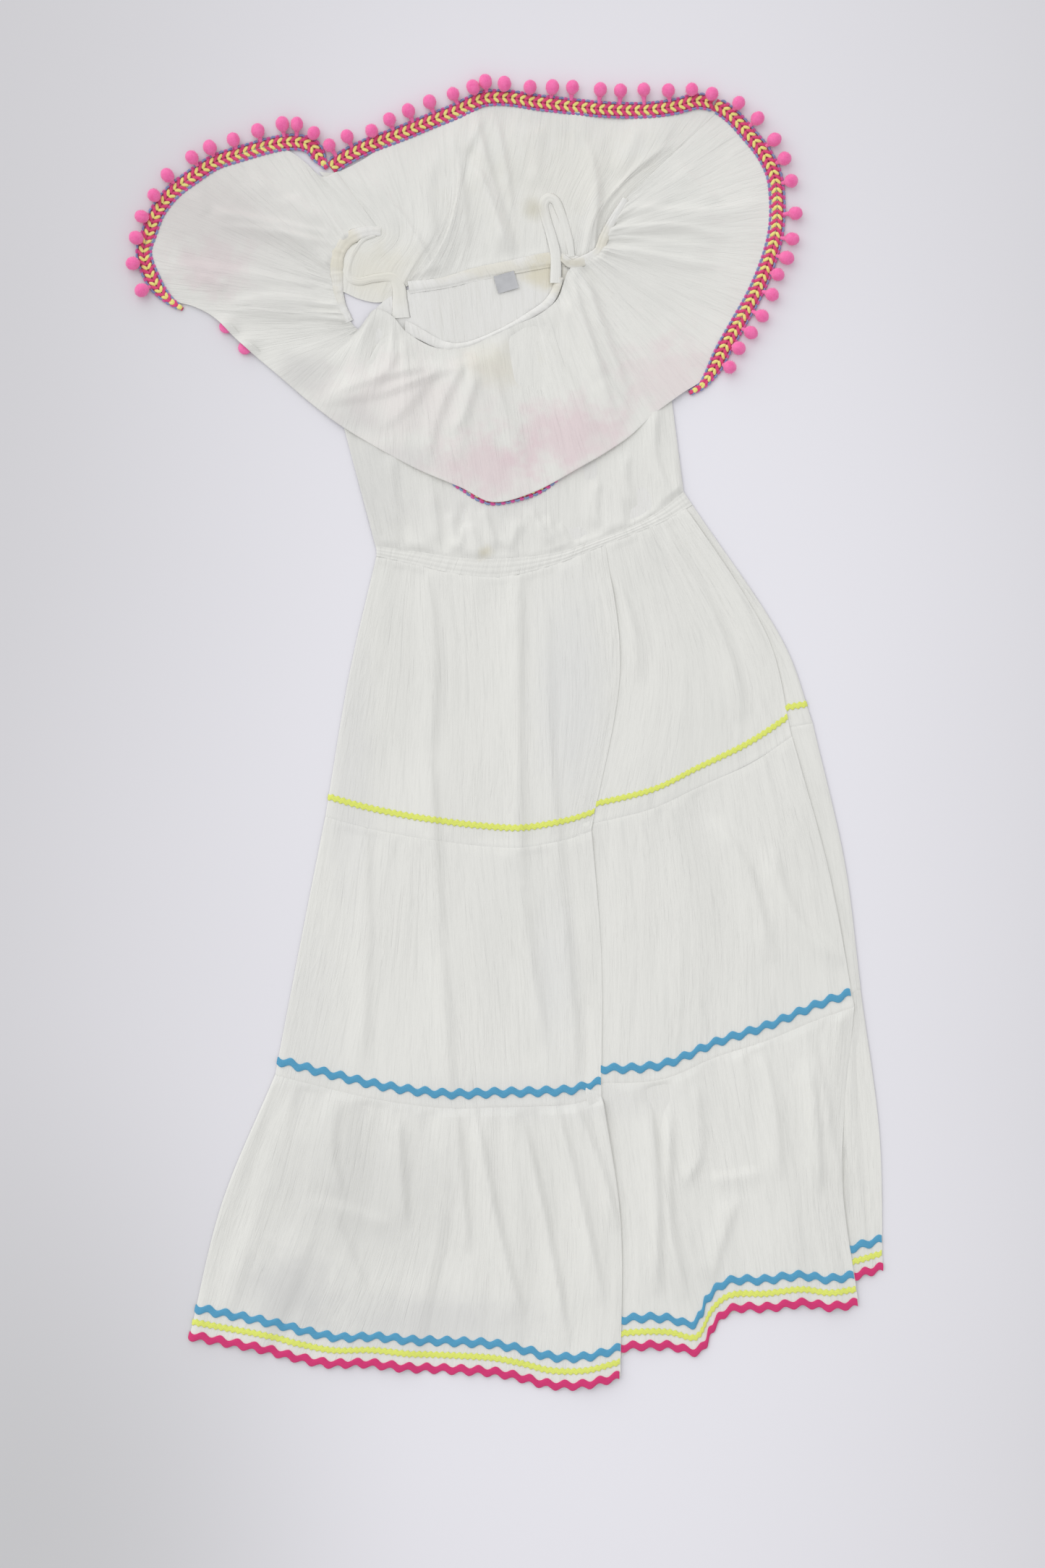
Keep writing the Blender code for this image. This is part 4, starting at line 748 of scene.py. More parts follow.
def row_shares(length: float, step: float) -> Array:
    """Shares from 0 to 1 down a panel, closer together beside both of its edges.

    Args:
        length: Length of the panel.
        step: Distance between rows.

    Returns:
        Shares in order.
    """
    edge = np.arange(0.0, EDGE_BAND, EDGE_ROWS)
    inner = length - 2 * EDGE_BAND
    middle = np.linspace(EDGE_BAND, length - EDGE_BAND, max(3, round(inner / step) + 1))
    return np.unique(np.round(np.concatenate([edge, middle, length - edge[::-1]]) / length, 6))


def column_positions(widths: Sequence[float], step: float) -> Array:
    """Positions counted in spans, about one step apart, closer at both ends.

    Args:
        widths: Width of each span.
        step: Distance between columns.

    Returns:
        Positions in order.
    """
    marks = [float(len(widths))]
    for index, width in enumerate(widths):
        count = max(1, round(width / step))
        marks += [index + k / count for k in range(count)]
    for near in EDGE_COLUMNS:
        marks.append(min(near / widths[0], 1.0))
        marks.append(len(widths) - min(near / widths[-1], 1.0))
    return np.unique(np.round(marks, 5))


def build_mesh(name: str, vertices: Array, faces: Array, uv: Array,
               slots: Array | None = None) -> Mesh:
    """A mesh in metres from points in millimetres and four-cornered faces.

    Args:
        name: Name of the mesh.
        vertices: Its points.
        faces: Four corners for each face.
        uv: Cloth coordinates of each point.
        slots: The finish of each face.

    Returns:
        The mesh.
    """
    mesh = bpy.data.meshes.new(name)
    count = len(faces)
    corners = faces.shape[1]
    mesh.vertices.add(len(vertices))
    vertices = np.column_stack([vertices[:, :2], np.maximum(vertices[:, 2], LOWEST)])
    mesh.vertices.foreach_set("co", ((vertices + CENTRE_SHIFT) * MM).ravel())
    mesh.loops.add(count * corners)
    mesh.loops.foreach_set("vertex_index", faces.ravel().astype(np.int32))
    mesh.polygons.add(count)
    mesh.polygons.foreach_set("loop_start", np.arange(0, count * corners, corners, dtype=np.int32))
    mesh.polygons.foreach_set("use_smooth", np.ones(count, dtype=bool))
    if slots is not None:
        mesh.polygons.foreach_set("material_index", slots.astype(np.int32))
    mesh.update(calc_edges=True)
    mesh.validate()
    layer = mesh.uv_layers.new(name="Cloth")
    layer.data.foreach_set("uv", (uv * MM)[faces.ravel()].ravel())
    return mesh


def grid_faces(rows: int, columns: int, closed: bool = False) -> Array:
    """Four-cornered faces of a grid of points.

    Args:
        rows: Rows of points.
        columns: Columns of points.
        closed: Whether the last column joins the first.

    Returns:
        The corners of each face.
    """
    j = np.arange(columns if closed else columns - 1)
    i = np.arange(rows - 1)[:, None] * columns
    right = (j + 1) % columns
    return np.stack([i + j, i + columns + j, i + columns + right, i + right], -1).reshape(-1, 4)


def grid_mesh(name: str, points: Array, uv: Array) -> Mesh:
    """A mesh over a grid of points, its faces turned up.

    Args:
        name: Name of the mesh.
        points: Rows and columns of points.
        uv: Cloth coordinates of each point.

    Returns:
        The mesh.
    """
    rows, columns = points.shape[:2]
    faces = grid_faces(rows, columns)
    down = points[1:, :-1] - points[:-1, :-1]
    right = points[:-1, 1:] - points[:-1, :-1]
    if np.cross(down, right)[..., 2].sum() < 0:
        faces = faces[:, ::-1]
    return build_mesh(name, points.reshape(-1, 3), faces, uv.reshape(-1, 2))


def add_piece(name: str, mesh: Mesh, finishes: Sequence[Material],
              nodes: Sequence[str]) -> bpy.types.Object:
    """Place a mesh in the scene as one piece that stands for its nodes.

    Args:
        name: Name of the piece.
        mesh: Its mesh.
        finishes: Its finishes.
        nodes: The solids that it stands for.

    Returns:
        The piece.
    """
    for finish in finishes:
        mesh.materials.append(finish)
    piece = bpy.data.objects.new(name, mesh)
    bpy.context.scene.collection.objects.link(piece)
    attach(piece, "root")
    if nodes:
        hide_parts(*nodes)
    logging.info("%s: %d faces", name, len(mesh.polygons))
    return piece


class Nodes:
    """The shader nodes of one finish, joined as they are added."""

    def __init__(self, name: str) -> None:
        """Start an empty material.

        Args:
            name: Name of the material.
        """
        self.material = bpy.data.materials.new(name)
        self.material.use_nodes = True
        self.tree = self.material.node_tree
        self.shader = self.tree.nodes["Principled BSDF"]

    def add(self, kind: str, inputs: dict[int | str, object] | None = None,
            **settings: object) -> bpy.types.Node:
        """Add one node, with its settings, and set or join its inputs.

        Args:
            kind: Kind of node.
            inputs: Values or outputs for its inputs.
            **settings: Its own settings.

        Returns:
            The node.
        """
        node = self.tree.nodes.new(kind)
        for key, value in settings.items():
            setattr(node, key, value)
        for key, value in (inputs or {}).items():
            self.join(value, node.inputs[key])
        return node

    def join(self, value: object, socket: Socket) -> None:
        """Join an output to a socket, or set the socket's value.

        Args:
            value: An output, a value or a colour.
            socket: The input.
        """
        if isinstance(value, Socket):
            self.tree.links.new(value, socket)
        else:
            socket.default_value = (*value, 1.0)[:4] if socket.type == "RGBA" else value

    def math(self, operation: str, first: object, second: object = 0.0) -> Socket:
        """One sum of two values."""
        return self.add("ShaderNodeMath", {0: first, 1: second}, operation=operation).outputs[0]

    def blend(self, share: object, first: object, second: object) -> Socket:
        """A colour between two colours, by the share of the second."""
        inputs = {0: share, 6: first, 7: second}
        return self.add("ShaderNodeMix", inputs, data_type="RGBA").outputs[2]

    def stretched(self, source: Socket, scale: Sequence[float],
                  place: Sequence[float] = ORIGIN) -> Socket:
        """Coordinates scaled and shifted along each axis."""
        inputs = {"Vector": source, "Scale": scale, "Location": place}
        return self.add("ShaderNodeMapping", inputs).outputs[0]

    def distance(self, source: Socket, scale: Sequence[float], place: Sequence[float]) -> Socket:
        """Distance from a place, in units that differ along each axis."""
        local = {0: self.stretched(source, scale, place)}
        return self.add("ShaderNodeVectorMath", local, operation="LENGTH").outputs["Value"]

    def noise(self, source: Socket, scale: Sequence[float], detail: float = 2.0,
              distortion: float = 0.0, place: Sequence[float] = ORIGIN) -> Socket:
        """Smooth noise from 0 to 1, scaled along each axis."""
        inputs = {"Vector": self.stretched(source, scale, place), "Scale": 1.0,
                  "Detail": detail, "Distortion": distortion}
        return self.add("ShaderNodeTexNoise", inputs).outputs[0]

    def span(self, value: object, low: float, high: float, to_low: float = 0.0,
             to_high: float = 1.0) -> Socket:
        """A value's range eased onto another range."""
        inputs = {"Value": value, "From Min": low, "From Max": high, "To Min": to_low,
                  "To Max": to_high}
        return self.add("ShaderNodeMapRange", inputs, interpolation_type="SMOOTHSTEP").outputs[0]

    def relief(self, height: Socket, strength: float, distance: float) -> None:
        """Raise the surface by a height."""
        inputs = {"Height": height, "Strength": strength, "Distance": distance}
        self.settle(Normal=self.add("ShaderNodeBump", inputs).outputs[0])

    def settle(self, **values: object) -> Material:
        """Set or join the surface shader's inputs by name, and return the material."""
        for key, value in values.items():
            self.join(value, self.shader.inputs[key.replace("_", " ")])
        return self.material


@dataclass(frozen=True)
class StainAndShadePatch:
    """A stain or painted shade on the cloth: its middle and reach in millimetres, colour and strength."""

    x: float
    y: float
    reach_x: float
    reach_y: float
    colour: tuple[float, float, float]
    strength: float
    rough: float = 0.35

    def share(self, nodes: Nodes, place: Socket) -> Socket:
        """How strong the stain or painted shade is at each place.

        Args:
            nodes: The finish's nodes.
            place: Place on the dress.

        Returns:
            A share from 0 to 1.
        """
        scale = 1.0 / (self.reach_x * MM), 1.0 / (self.reach_y * MM), 0.0
        middle = (self.x + CENTRE_SHIFT[0]) * MM, (self.y + CENTRE_SHIFT[1]) * MM, 0.0
        far = nodes.distance(place, scale, [-m * s for m, s in zip(middle, scale)])
        rough = nodes.noise(place, (60.0, 60.0, 60.0), 3.0)
        edge = nodes.math("ADD", far, nodes.span(rough, 0.2, 0.8, -self.rough, self.rough))
        return nodes.span(edge, 0.15, 1.15, self.strength, 0.0)


@dataclass(frozen=True)
class CrinkledCotton:
    """White crinkled cotton: crinkle, weave, slight painted shade in its hollows, and stains and painted
    shade patches.
    """

    name: str
    stains_and_shade: tuple[StainAndShadePatch, ...]
    colour: tuple[float, float, float] = (0.805, 0.803, 0.760)
    hollow: tuple[float, float, float] = (0.70, 0.703, 0.665)

    def make(self) -> Material:
        """Build the finish.

        Returns:
            The material.
        """
        nodes = Nodes(self.name)
        uv = nodes.add("ShaderNodeUVMap", uv_map="Cloth").outputs[0]
        place = nodes.add("ShaderNodeTexCoord").outputs["Object"]
        fine = nodes.noise(uv, (400.0, 24.0, 1.0), 3.0, 0.6)
        broad = nodes.noise(uv, (150.0, 12.0, 1.0), 3.0, 0.8, (3.0, 7.0, 0.0))
        patch = nodes.noise(uv, (14.0, 8.0, 1.0), 2.0, 0.4)
        weave = nodes.noise(uv, (2400.0, 2400.0, 1.0), 1.0)
        ridge = nodes.math("ABSOLUTE", nodes.math("SUBTRACT", fine, 0.5))
        crinkle = nodes.math("MULTIPLY", nodes.math("ADD", nodes.math("MULTIPLY", ridge, -1.3), 0.4),
                             nodes.span(patch, 0.3, 0.7, 0.55, 1.15))
        crinkle = nodes.math("ADD", crinkle, nodes.math("MULTIPLY", broad, 0.8))
        nodes.relief(nodes.math("ADD", crinkle, nodes.math("MULTIPLY", weave, 0.16)), 0.9, 0.0009)
        hollow = nodes.span(nodes.math("ADD", ridge, nodes.math("MULTIPLY", broad, 0.5)),
                            0.22, 0.62, 0.0, 0.55)
        cloud = nodes.noise(place, (9.0, 5.0, 1.0), 2.0, 0.6)
        shade = nodes.math("ADD", hollow, nodes.span(cloud, 0.4, 0.75, 0.0, 0.3))
        colour = nodes.blend(shade, self.colour, self.hollow)
        # Stains, and patches of painted shade where folds, edges and sides of the dress lie in shadow.
        for stain_and_shade_patch in self.stains_and_shade:
            colour = nodes.blend(stain_and_shade_patch.share(nodes, place), colour, stain_and_shade_patch.colour)
        return nodes.settle(Base_Color=colour, Roughness=0.95, Sheen_Weight=0.15,
                            Sheen_Roughness=0.6, Specular_IOR_Level=0.15)


@dataclass(frozen=True)
class WovenTape:
    """Rickrack: a braided tape of one colour, its threads slanting both ways."""

    name: str
    colour: tuple[float, float, float]
    shade: tuple[float, float, float]

    def make(self) -> Material:
        """Build the finish.

        Returns:
            The material.
        """
        nodes = Nodes(self.name)
        uv = nodes.add("ShaderNodeUVMap", uv_map="Cloth").outputs[0]
        along, across = nodes.add("ShaderNodeSeparateXYZ", {0: uv}).outputs[:2]
        along = nodes.math("MULTIPLY", along, 5200.0)
        slant = nodes.math("MULTIPLY", nodes.math("ABSOLUTE", across), 5200.0)
        first = nodes.math("SINE", nodes.math("ADD", along, slant))
        second = nodes.math("SINE", nodes.math("MULTIPLY", across, 7000.0))
        threads = nodes.math("ADD", first, nodes.math("MULTIPLY", second, 0.5))
        fuzz = nodes.noise(uv, (3000.0, 3000.0, 1.0))
        nodes.relief(nodes.math("ADD", threads, fuzz), 0.5, 0.0003)
        share = nodes.span(nodes.math("ADD", threads, nodes.math("MULTIPLY", fuzz, 2.0)), -0.8, 2.0)
        return nodes.settle(Base_Color=nodes.blend(share, self.shade, self.colour), Roughness=0.8,
                            Sheen_Weight=0.2, Sheen_Roughness=0.5, Specular_IOR_Level=0.2)


@dataclass(frozen=True)
class Yarn:
    """Soft acrylic yarn of one colour, slightly uneven and fuzzy."""

    name: str
    colour: tuple[float, float, float]
    shade: tuple[float, float, float]
    scale: float = 900.0

    def make(self) -> Material:
        """Build the finish.

        Returns:
            The material.
        """
        nodes = Nodes(self.name)
        place = nodes.add("ShaderNodeTexCoord").outputs["Object"]
        fuzz = nodes.noise(place, (self.scale,) * 3, 3.0, 0.4)
        height = nodes.math("ADD", fuzz, nodes.noise(place, (self.scale * 0.22,) * 3))
        nodes.relief(height, 0.6, 0.0008)
        colour = nodes.blend(nodes.span(height, 0.6, 1.3), self.shade, self.colour)
        return nodes.settle(Base_Color=colour, Roughness=0.9, Sheen_Weight=0.35,
                            Sheen_Roughness=0.5, Specular_IOR_Level=0.15)


@dataclass(frozen=True)
class Satin:
    """Grey satin of a plain woven label, with fine cross threads."""

    name: str = "label_satin"
    colour: tuple[float, float, float] = srgb(192, 193, 195)

    def make(self) -> Material:
        """Build the finish.

        Returns:
            The material.
        """
        nodes = Nodes(self.name)
        uv = nodes.add("ShaderNodeUVMap", uv_map="Cloth").outputs[0]
        threads = nodes.noise(uv, (300.0, 5000.0, 1.0))
        nodes.relief(threads, 0.35, 0.0002)
        share = nodes.math("ADD", threads, nodes.noise(uv, (120.0, 120.0, 1.0)))
        dark = tuple(0.86 * c for c in self.colour)
        colour = nodes.blend(nodes.span(share, 0.6, 1.4), dark, self.colour)
        return nodes.settle(Base_Color=colour, Roughness=0.5)


@dataclass(frozen=True)
class PaperFloor:
    """A pale seamless paper with a painted pool of light, darker towards its corners, and painted shade
    at its lower left.
    """

    name: str = "pale_paper"

    def make(self) -> Material:
        """Build the finish.

        Returns:
            The material.
        """
        nodes = Nodes(self.name)
        place = nodes.add("ShaderNodeTexCoord").outputs["Object"]
        # Painted light: brightest round one place near the dress, falling off darker outwards.
        far = nodes.distance(place, (1.3, 0.52, 0.0), (-0.103, 0.055, 0.0))
        patch = nodes.math("MULTIPLY", nodes.noise(place, (2.0, 2.0, 1.0), 1.0), 0.12)
        share = nodes.span(nodes.math("ADD", far, patch), 0.22, 0.95)
        colour = nodes.blend(share, (0.835, 0.827, 0.868), (0.652, 0.645, 0.66))
        # Painted shade, darkest at the lower left corner.
        away = nodes.distance(place, (3.2, 2.4, 0.0), (1.47, 1.8, 0.0))
        colour = nodes.blend(nodes.span(away, 0.0, 1.3, 0.75, 0.0), colour, (0.56, 0.56, 0.565))
        return nodes.settle(Base_Color=colour, Roughness=0.9, Specular_IOR_Level=0.1)


class Strip:
    """Grids of points that are joined into one mesh."""

    def __init__(self) -> None:
        """Start with no grids."""
        self.parts: list[tuple[Array, Array, Array, Array]] = []
        self.count = 0

    def add(self, points: Array, uv: Array | None = None, slot: int = 0, closed: bool = False,
            flip: bool = False) -> None:
        """Add one grid of points, closed round its columns or not, its faces turned or not."""
        faces = grid_faces(*points.shape[:2], closed)
        self.put(points, faces[:, ::-1] if flip else faces, slot, uv)

    def put(self, points: Array, faces: Array, slot: int, uv: Array | None = None) -> None:
        """Add points and the faces between them.

        Args:
            points: The points.
            faces: Four corners for each face.
            slot: The finish.
            uv: Cloth coordinates.
        """
        points = points.reshape(-1, 3)
        uv = np.zeros((len(points), 2)) if uv is None else uv.reshape(-1, 2)
        self.parts.append((points, faces + self.count, uv, np.full(len(faces), slot)))
        self.count += len(points)

    def mesh(self, name: str) -> Mesh:
        """The joined mesh.

        Args:
            name: Name of the mesh.

        Returns:
            The mesh.
        """
        vertices, *rest = (np.concatenate(part) for part in zip(*self.parts))
        vertices[:, 2] = np.maximum(vertices[:, 2], TRIM_LOWEST)
        return build_mesh(name, vertices, *rest)


def side_vectors(line: Array) -> Array:
    """Unit vectors to the left of a line, in plan."""
    side = np.gradient(line[:, :2], axis=0) @ np.array([[0.0, 1.0], [-1.0, 0.0]])
    return side / length_of(side)


def between(first: Array, second: Array, shares: Array) -> Array:
    """Rows of points from one line to another, at shares of the way."""
    return first[None] * (1 - shares)[:, None, None] + second[None] * shares[:, None, None]


def laid_flat(plan: Array, height: float) -> Laid:
    """A sheet over a plan, at one height."""
    return Laid(np.concatenate([plan, np.full(plan.shape[:2] + (1,), height)], 2))


class Gathers(NamedTuple):
    """Gathers beside a seam: how high, how far they reach and how wide they are."""

    height: float
    reach: float
    pitch: float


class Tier(NamedTuple):
    """One tier: its stations, those that its back uses, its length and its gathers."""

    name: str
    stations: Sequence[Station]
    picks: Sequence[int]
    length: float
    gathers: Gathers
    seed: int
    fade: float = 0.0
    back_short: float = 0.0


@dataclass
class Skirt:
    """Three gathered tiers, front and back, and the rickrack on the front."""

    cotton: Material
    tiers: tuple[Tier, ...] = (
        Tier("top", TOP_TIER, (0, 2, 4, 6, 9, 11, 14), 235.0, Gathers(1.2, 45.0, 10.0), 11,
             fade=45.0),
        Tier("middle", MIDDLE_TIER, (0, 2, 4, 6, 9, 11, 15), 236.0, Gathers(1.1, 50.0, 12.0), 12),
        Tier("bottom", BOTTOM_TIER, (0, 3, 6, 10, 13, 18, 23), 240.0, Gathers(2.6, 85.0, 15.0), 13,
             back_short=5.0))
    side_roll: float = 7.0
    side_height: float = 0.7
    top_trim_rise: float = 18.0
    middle_trim_rise: float = 13.0
    hem_rises: tuple[float, float, float] = (26.0, 13.5, 1.0)
    runs: dict[str, list[Laid]] = field(default_factory=dict)

    @staticmethod
    def split(stations: Sequence[Station]) -> list[Sequence[Station]]:
        """Stations between one deep pleat and the next."""
        ends = [k + 1 for k, station in enumerate(stations) if station.pleat]
        return [stations[a:b] for a, b in zip([0] + ends, ends + [len(stations)])]

    @staticmethod
    def edge_line(stations: Sequence[Station], low: bool) -> Array:
        """The shared seam line of a run, at its top or low edge."""
        return even_line([s[4:6] if low else s[0:2] for s in stations], 2.0)

    @staticmethod
    def run_points(stations: Sequence[Station], shares: Array, step: float, top: Array,
                   low: Array) -> tuple[Array, Array]:
        """Plan and lift of a run of stations between its two seam lines.

        Args:
            stations: Stations of the run.
            shares: Shares down the panel.
            step: Distance between columns.
            top: Seam line above.
            low: Seam line below.

        Returns:
            Points in plan, and the lift of each column.
        """
        rows = np.array(stations, float)
        lines = flow(rows[:, :6].reshape(-1, 3, 2).transpose(1, 0, 2), 2.0 * shares)
        widths = np.linalg.norm(np.diff(lines[len(shares) // 2], axis=0), axis=1)
        positions = column_positions(widths, step)
        grid = flow(lines.transpose(1, 0, 2), positions)
        shift_top = nearest_on(top, grid[:, 0]) - grid[:, 0]
        shift_low = nearest_on(low, grid[:, -1]) - grid[:, -1]
        grid = grid + shift_top[:, None] * (1 - shares)[None, :, None]
        grid = grid + shift_low[:, None] * shares[None, :, None]
        return grid.transpose(1, 0, 2), np.interp(positions, np.arange(len(rows)), rows[:, 6])

    def run_sheets(self, tier: Tier, tops: Sequence[Array], lows: Sequence[Array]) -> list[Laid]:
        """The laid sheet of each run of a tier, before its folds are raised.

        Args:
            tier: The tier.
            tops: Seam line above each run.
            lows: Seam line below each run.

        Returns:
            A sheet for each run.
        """
        shares = row_shares(tier.length, 3.4)
        grow = np.ones(len(shares))
        if tier.fade:
            grow = ease((shares * tier.length - tier.fade) / 110.0)
        sheets = []
        for run, top, low in zip(self.split(tier.stations), tops, lows):
            plan, lift = self.run_points(run, shares, 2.7, top, low)
            height = FRONT_HEIGHT + PLEAT_RISE * lift[None, :] * grow[:, None]
            sheets.append(Laid(np.concatenate([plan, height[..., None]], 2)))
        for before, after in zip(sheets, sheets[1:]):
            pleat = np.linalg.norm(before.points[:, -1, :2] - after.points[:, 0, :2], axis=1)
            inward = np.linalg.norm(after.points[:, :, :2] - after.points[:, :1, :2], axis=2)
            inward = inward - pleat[:, None]
            after.mask = ease(inward / 12.0)
            climb = ease((inward + 1.3) / (1.5 + 9.0 * grow[:, None]))
            after.points[:, :, 2] -= PLEAT_DROP * (1.0 - climb)
        return sheets

    @staticmethod
    def fold_under(before: Laid, after: Laid) -> Array:
        """The columns that carry a pleat's cloth back beneath it.

        Args:
            before: The run on top.
            after: The run beneath.

        Returns:
            Columns of points.
        """
        edge = before.points[:, -1]
        start = after.points[:, 0]
        outward = edge[:, :2] - before.points[:, -3, :2]
        outward = outward / length_of(outward)
        middle = start[:, 2] + 0.5 * (edge[:, 2] - start[:, 2])
        columns = []
        for line, high, low, way, turns in (
                (edge, edge[:, 2], middle, outward, (45, 90, 135, 180)),
                (start, middle, start[:, 2], -outward, (0, 45, 90, 135))):
            for turn in np.radians(turns):
                radius = (high - low) / 2
                columns.append(np.column_stack([
                    line[:, :2] + way * (math.sin(turn) * radius)[:, None],
                    high - radius * (1 - math.cos(turn))]))
        return np.stack(columns, 1)

    def front(self, tier: Tier, tops: Sequence[Array], lows: Sequence[Array]) -> None:
        """Build one tier's front and keep its runs for the trims.

        Args:
            tier: The tier.
            tops: Seam line above each run.
            lows: Seam line below each run.
        """
        sheets = self.run_sheets(tier, tops, lows)
        hem = tier.name == "bottom"
        for number, laid in enumerate(sheets, tier.seed):
            laid.fold(SKIRT_CREASES)
            laid.hold(Edge.TOP, 9.0)
            if not hem:
                laid.hold(Edge.LOW, 9.0)
            laid.gather(Edge.TOP, *tier.gathers, number)
            laid.gather(Edge.LOW, 0.5, 14.0, 7.0, number + 20)
            laid.ripple(0.8, 34.0, 320.0, number + 40)
            laid.ripple(0.3, 11.0, 90.0, number + 60)
            if hem:
                laid.ripple(1.7, 24.0, 170.0, number + 80)
                laid.gather(Edge.TOP, 0.9, 26.0, 5.5, number + 90)
        sheets[0].roll(0, self.side_roll, self.side_height)
        sheets[-1].roll(-1, self.side_roll, self.side_height)
        self.runs[tier.name] = [Laid(laid.points.copy()) for laid in sheets]
        for laid in sheets:
            laid.tuck(Edge.TOP, 0.35, 1.9)
            if not hem:
                laid.tuck(Edge.LOW, 0.3, 1.6)
            laid.underlap(1.2, 0.4)
        columns = [sheets[0].points]
        for before, after in zip(sheets, sheets[1:]):
            columns += [self.fold_under(before, after), after.points]
        node = f"skirt_{tier.name}_tier"
        Laid(np.concatenate(columns, 1)).place(
            f"{tier.name}_tier", f"{node}_front", self.cotton, "gathered", tier.length,
            rests_on=[f"{node}_back"])

    def back(self, tier: Tier, chosen: Sequence[Station], top: Array, low: Array) -> None:
        """Build one tier's plain back, flat on the floor.

        Args:
            tier: The tier.
            chosen: The stations that are used.
            top: Seam line above.
            low: Seam line below.
        """
        plan, _ = self.run_points(chosen, np.linspace(0.0, 1.0, 22), 12.0, top, low)
        step = plan[-2] - plan[-1]
        plan[-1] += step / length_of(step) * tier.back_short
        laid = laid_flat(plan, BACK_HEIGHT)
        laid.ripple(0.18, 30.0, 120.0, 7)
        laid.place(f"{tier.name}_tier_back", f"skirt_{tier.name}_tier_back", self.cotton, "laid")

    def build(self) -> None:
        """Build the three tiers and their trims."""
        waist = even_line([run[2:] for run in WAIST_CASING], 2.0)
        seams = [[waist] * 3]
        back_seams = [waist]
        backs = [[tier.stations[k] for k in tier.picks] for tier in self.tiers]
        for number, low in ((1, False), (1, True), (2, True)):
            runs = self.split(self.tiers[number].stations)
            seams.append([self.edge_line(run, low) for run in runs])
            back_seams.append(self.edge_line(backs[number], low))
        for tier, tops, lows in zip(self.tiers, seams, seams[1:]):
            self.front(tier, tops, lows)
        for tier, chosen, top, low in zip(self.tiers, backs, back_seams, back_seams[1:]):
            self.back(tier, chosen, top, low)
        self.trims()

    def trims(self) -> None:
        """Build the rickrack above both seams and along the hem."""
        yellow = Rickrack("yellow", 5.2, 0.8, 5.2, YELLOW_TAPE, 0.5)
        blue = Rickrack("blue", 6.9, 1.8, 15.5, BLUE_TAPE)
        pink = Rickrack("pink", 7.0, 1.8, 15.5, PINK_TAPE)
        yellow.build("tier", self.runs["top"], self.top_trim_rise, 3)
        blue.build("tier", self.runs["middle"][:2], self.middle_trim_rise, 2)
        for tape, rise in zip((blue, yellow, pink), self.hem_rises):
            tape.build("hem", self.runs["bottom"], rise, 3)


@dataclass(frozen=True)
class Rickrack:
    """Zigzag tape sewn along a panel."""

    shade: str
    width: float
    swing: float
    pitch: float
    finish: WovenTape
    thickness: float = 0.9

    def strip(self, laid: Laid, rise: float, edge: Array | None) -> tuple[Array, Array]:
        """Points and cloth coordinates of the tape along one run, from a pleat's edge on.

        Args:
            laid: The cloth.
            rise: Distance above the low edge.
            edge: The pleat's edge that it comes out from under.

        Returns:
            Points and cloth coordinates.
        """
        columns = np.linspace(0.2, laid.points.shape[1] - 1.15, 900)
        places, _ = laid.sample(columns, np.full(900, rise))
        if edge is not None:
            seen = distance_to(edge[:, :2], places[:, 0], places[:, 1]) > -0.6
            first = int(np.flatnonzero(~seen).max(initial=-1)) + 1
            columns = columns[first:]
            places = places[first:]
        total = run_length(places)
        marks = np.arange(0.0, total[-1], 1.1)
        across = np.interp(marks, total, columns)
        waves = max(1, round(total[-1] / self.pitch))
        sway = self.swing * np.sin(2 * math.pi * waves * marks / total[-1])
        profile = np.array([-1.0, -0.93, -0.62, 0.0, 0.62, 0.93, 1.0]) * self.width / 2
        crown = np.array([-0.5, 0.55, 0.86, 0.95, 0.86, 0.55, -0.5]) * self.thickness
        rows = []
        for offset, height in zip(profile, crown):
            points, ups = laid.sample(across, rise - (sway + offset))
            rows.append(points + ups * (0.4 + height))
        points = np.stack(rows, 1)
        points[..., 2] = np.maximum(points[..., 2], FLOOR_CLEARANCE)
        return points, np.stack(np.broadcast_arrays(marks[:, None], profile[None, :]), -1)

    def build(self, place: str, runs: Sequence[Laid], rise: float, nodes: int) -> None:
        """Build the tape along each run as one piece.

        Args:
            place: Where on the dress.
            runs: The cloth of each run.
            rise: Distance above the low edge.
            nodes: How many solids.
        """
        strip = Strip()
        edge = None
        for laid in runs:
            strip.add(*self.strip(laid, rise, edge))
            edge = laid.points[:, -1]
        name = f"{place}_rickrack_{self.shade}"
        add_piece(f"{name}_tape", strip.mesh(name), [self.finish.make()],
                  [f"{name}_{k + 1}" for k in range(nodes)])


